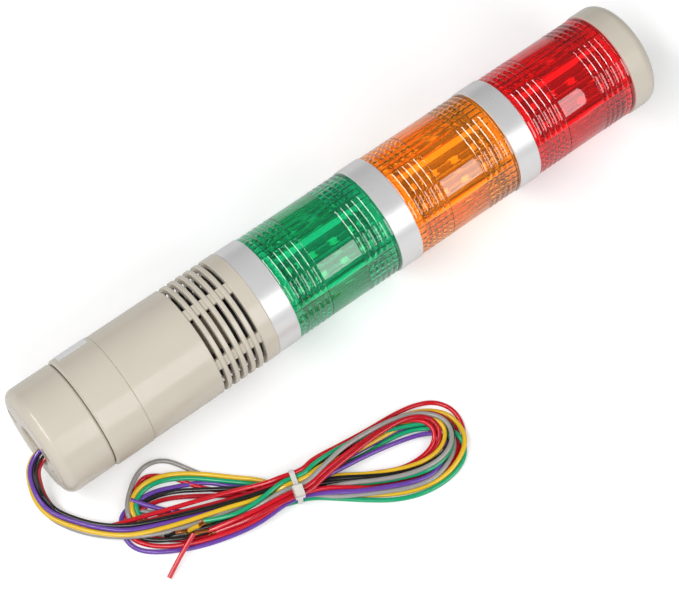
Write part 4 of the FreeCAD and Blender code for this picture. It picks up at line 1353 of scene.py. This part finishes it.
@dataclass
class Wiring(SubAssembly):
    """The seven leads from the foot's hole to their stripped ends, and the hank's tie."""

    # How far the strands stick out, and the leads that are cut nearly flush.
    bare_length: float = 5.0
    flush_length: float = 1.3
    flush: tuple[str, ...] = ("purple", "grey")
    # How far the strands start inside the insulation, sag, and stay over the floor.
    strand_root: float = 1.0
    strand_sag: float = 1.2
    strand_floor: float = 1.1
    strand_arch: float = 0.6
    strand_steps: int = 5
    slug_radius: float = 1.0
    slug_lift: float = 0.05
    slug_bow: tuple[float, float, float] = (-0.3, 0.5, 0.0)
    slugs: tuple[Slug, ...] = (
        Slug("red", "stripped_tail", (32.6, -62.9, 6.6), (14.7, -70.45)),
        Slug("yellow", "lead_yellow", (36.6, -61.0, 5.4), (30.9, -59.0)),
        Slug("black", "lead_black", (27.4, -57.0, 3.4), (23.6, -55.2)),
    )
    settle_steps: int = 220
    quick_settle_steps: int = 60

    def build(self) -> None:
        """Route, settle and draw the leads with their ends."""
        super().build()
        bundle = LeadBundle([HankRoute(lead) for lead in LEADS])
        bundle.settle(self.settle_steps)
        slugs = [self.slug(slug) for slug in self.slugs]
        on_leads = CableTie().build(self.library) + slugs
        for i, lead in enumerate(LEADS):
            control = bundle.of(i)
            points = [place(*p) for p in control]
            strands = self.bare_end(lead, points)
            tube = add_tube("wire_" + lead.name, points, LEAD_DIAMETER / 2 * MM,
                            self.library.get(lead.finish))
            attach(tube, "tower")
            replaced = ["lead_" + lead.name]
            if i == 0:
                replaced.append("wire_hank")
            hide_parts(*replaced)
            log.info("%s lead is %.0f mm long", lead.name, spline_length(control) / MM)

    def bare_end(self, lead: Lead, points: list[Vector]) -> bpy.types.Object:
        """Add the strands that stick out of a lead's end.

        Args:
            lead: The lead they belong to.
            points: Its control points in the row frame.

        Returns:
            The strands.
        """
        end = points[-1]
        away = (end - points[-2]).normalized()
        reach = self.flush_length if lead.name in self.flush else self.bare_length
        slug = next((slug for slug in self.slugs if slug.lead == lead.name), None)
        path = []
        for step in range(self.strand_steps + 1):
            share = step / self.strand_steps
            if slug is not None:
                x, y, up = slug.inner_end
                root = end - away * (self.strand_root * MM)
                point = root.lerp(place(x, y, FLOOR + up), share)
                point.z += self.strand_arch * MM * math.sin(math.pi * share)
            else:
                point = end + away * ((reach * share - self.strand_root) * MM)
                point.z = max(point.z - self.strand_sag * MM * share * share,
                              self.strand_floor * MM)
            path.append(point)
        strands = StrandedEnd().build("strands_" + lead.name, path,
                                      self.library.get(Surface.COPPER.value))
        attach(strands, "tower")
        return strands

    def slug(self, slug: Slug) -> bpy.types.Object:
        """Add a pulled-off end of insulation.

        Args:
            slug: Its lead, its node and its ends.

        Returns:
            The piece.
        """
        finish = next(lead.finish for lead in LEADS if lead.name == slug.lead)
        x, y, up = slug.inner_end
        first = place(x, y, FLOOR + up)
        last = place(*slug.outer_end, FLOOR + self.slug_radius + self.slug_lift)
        middle = first.lerp(last, 0.5) + Vector(self.slug_bow) * MM
        piece = add_tube("slug_" + slug.lead, [first, middle, last], self.slug_radius * MM,
                         self.library.get(finish))
        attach(piece, "tower")
        if slug.node == "stripped_tail":
            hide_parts(slug.node)
        log.info("%s is laid", piece.name)
        return piece


# -------------------------------------------------------------------------- stage
@dataclass(frozen=True)
class Softbox:
    """A rectangular light that faces a point of the tower; metres and watts."""

    name: str
    direction: tuple[float, float, float]
    distance: float
    size: tuple[float, float]
    power: float
    target: tuple[float, float, float] = (0.0, 0.0, 0.025)

    def build(self) -> None:
        """Add the light, with its width along the tower."""
        data = bpy.data.lights.new(self.name, "AREA")
        data.shape = "RECTANGLE"
        data.size, data.size_y = self.size
        data.energy = self.power
        towards = Vector(self.direction).normalized()
        along = (Vector((1, 0, 0)) - towards * towards.x).normalized()
        turn = Matrix((along, towards.cross(along), towards)).transposed().to_4x4()
        turn.translation = Vector(self.target) + towards * self.distance
        add_object(self.name, data).matrix_world = turn


@dataclass(frozen=True)
class Studio:
    """Pale floor, white surroundings, soft lights and the camera; places are in metres."""

    lights: tuple[Softbox, ...] = (
        Softbox("key_softbox", (-0.52, 0.06, 0.85), 1.3, (0.26, 1.35), 11.0),
        Softbox("line_softbox", (-0.515, -0.62, 0.592), 1.3, (0.15, 1.06), 2.2),
        Softbox("strip_softbox", (0.0, -0.799, 0.602), 1.1, (0.66, 0.72), 4.9,
                (0.30, 0.0, 0.025)),
    )
    # The world's strength as a light and in a reflection.
    ambient: float = 0.32
    mirrored: float = 0.1
    floor_half: float = 4.0
    floor_shade: float = 0.78
    floor_lift: float = 0.31
    view_place: tuple[float, float, float] = (-0.2453, -0.3237, 0.8253)
    view_right: tuple[float, float, float] = (0.7983, -0.6022, 0.0)
    view_ahead: tuple[float, float, float] = (0.2586, 0.3428, -0.9031)
    focal_length: float = 112.98

    def build(self) -> None:
        """Make everything that isn't the object."""
        self.world()
        self.floor()
        for light in self.lights:
            light.build()
        self.camera()

    def world(self) -> None:
        """Make the surroundings: white to a look, dimmer as a light and in reflections."""
        world = bpy.data.worlds.new("studio")
        bpy.context.scene.world = world
        world.use_nodes = True
        add = partial(add_node, world.node_tree)
        path = add("ShaderNodeLightPath")
        dimmed = add("ShaderNodeMapRange", {"Value": path.outputs["Is Glossy Ray"],
                                            "To Min": self.ambient, "To Max": self.mirrored})
        strength = add("ShaderNodeMapRange", {"Value": add_sight(world.node_tree),
                                              "To Min": dimmed, "To Max": 1.0})
        add("Background", {"Color": (1, 1, 1, 1), "Strength": strength})

    def floor(self) -> None:
        """Lay a wide matt floor at z = 0 that a look finds nearly white."""
        half = self.floor_half
        mesh = bpy.data.meshes.new("studio_floor")
        mesh.from_pydata([(-half, -half, 0), (half, -half, 0), (half, half, 0), (-half, half, 0)],
                         [], [(0, 1, 2, 3)])
        material = new_material("painted_floor")
        add = partial(add_node, material.node_tree)
        lift = add("ShaderNodeMath", {0: add_sight(material.node_tree), 1: self.floor_lift},
                   operation="MULTIPLY")
        add("Principled BSDF", {"Base Color": (*[self.floor_shade] * 3, 1), "Roughness": 0.9,
                                "Specular IOR Level": 0.1, "Emission Color": (1, 1, 1, 1),
                                "Emission Strength": lift})
        mesh.materials.append(material)
        add_object("studio_floor", mesh)

    def camera(self) -> None:
        """Set the view from above the foot's end, along the tower."""
        data = bpy.data.cameras.new("view")
        data.sensor_width = 36.0
        data.lens = self.focal_length
        data.clip_start, data.clip_end = 0.05, 20.0
        right = Vector(self.view_right).normalized()
        ahead = Vector(self.view_ahead).normalized()
        turn = Matrix((right, right.cross(ahead), -ahead)).transposed().to_4x4()
        turn.translation = Vector(self.view_place)
        camera = add_object("view", data)
        camera.matrix_world = turn
        bpy.context.scene.camera = camera


def main() -> None:
    """Build each sub-assembly in order, then the studio round them."""
    bpy.context.scene.view_settings.view_transform = "Standard"
    library = MaterialLibrary()
    tiers = (("green", Surface.GREEN_LENS), ("amber", Surface.AMBER_LENS),
             ("red", Surface.RED_LENS))
    parts = [Wiring(library), Base(library), SounderSection(library),
             *(Tier(library, colour=colour, lens_surface=surface, ring=number)
               for number, (colour, surface) in enumerate(tiers, 1)),
             Top(library)]
    for part in parts:
        part.build()
        log.info("%s is built", type(part).__name__)
    Studio().build()


if __name__ == "__main__":
    main()
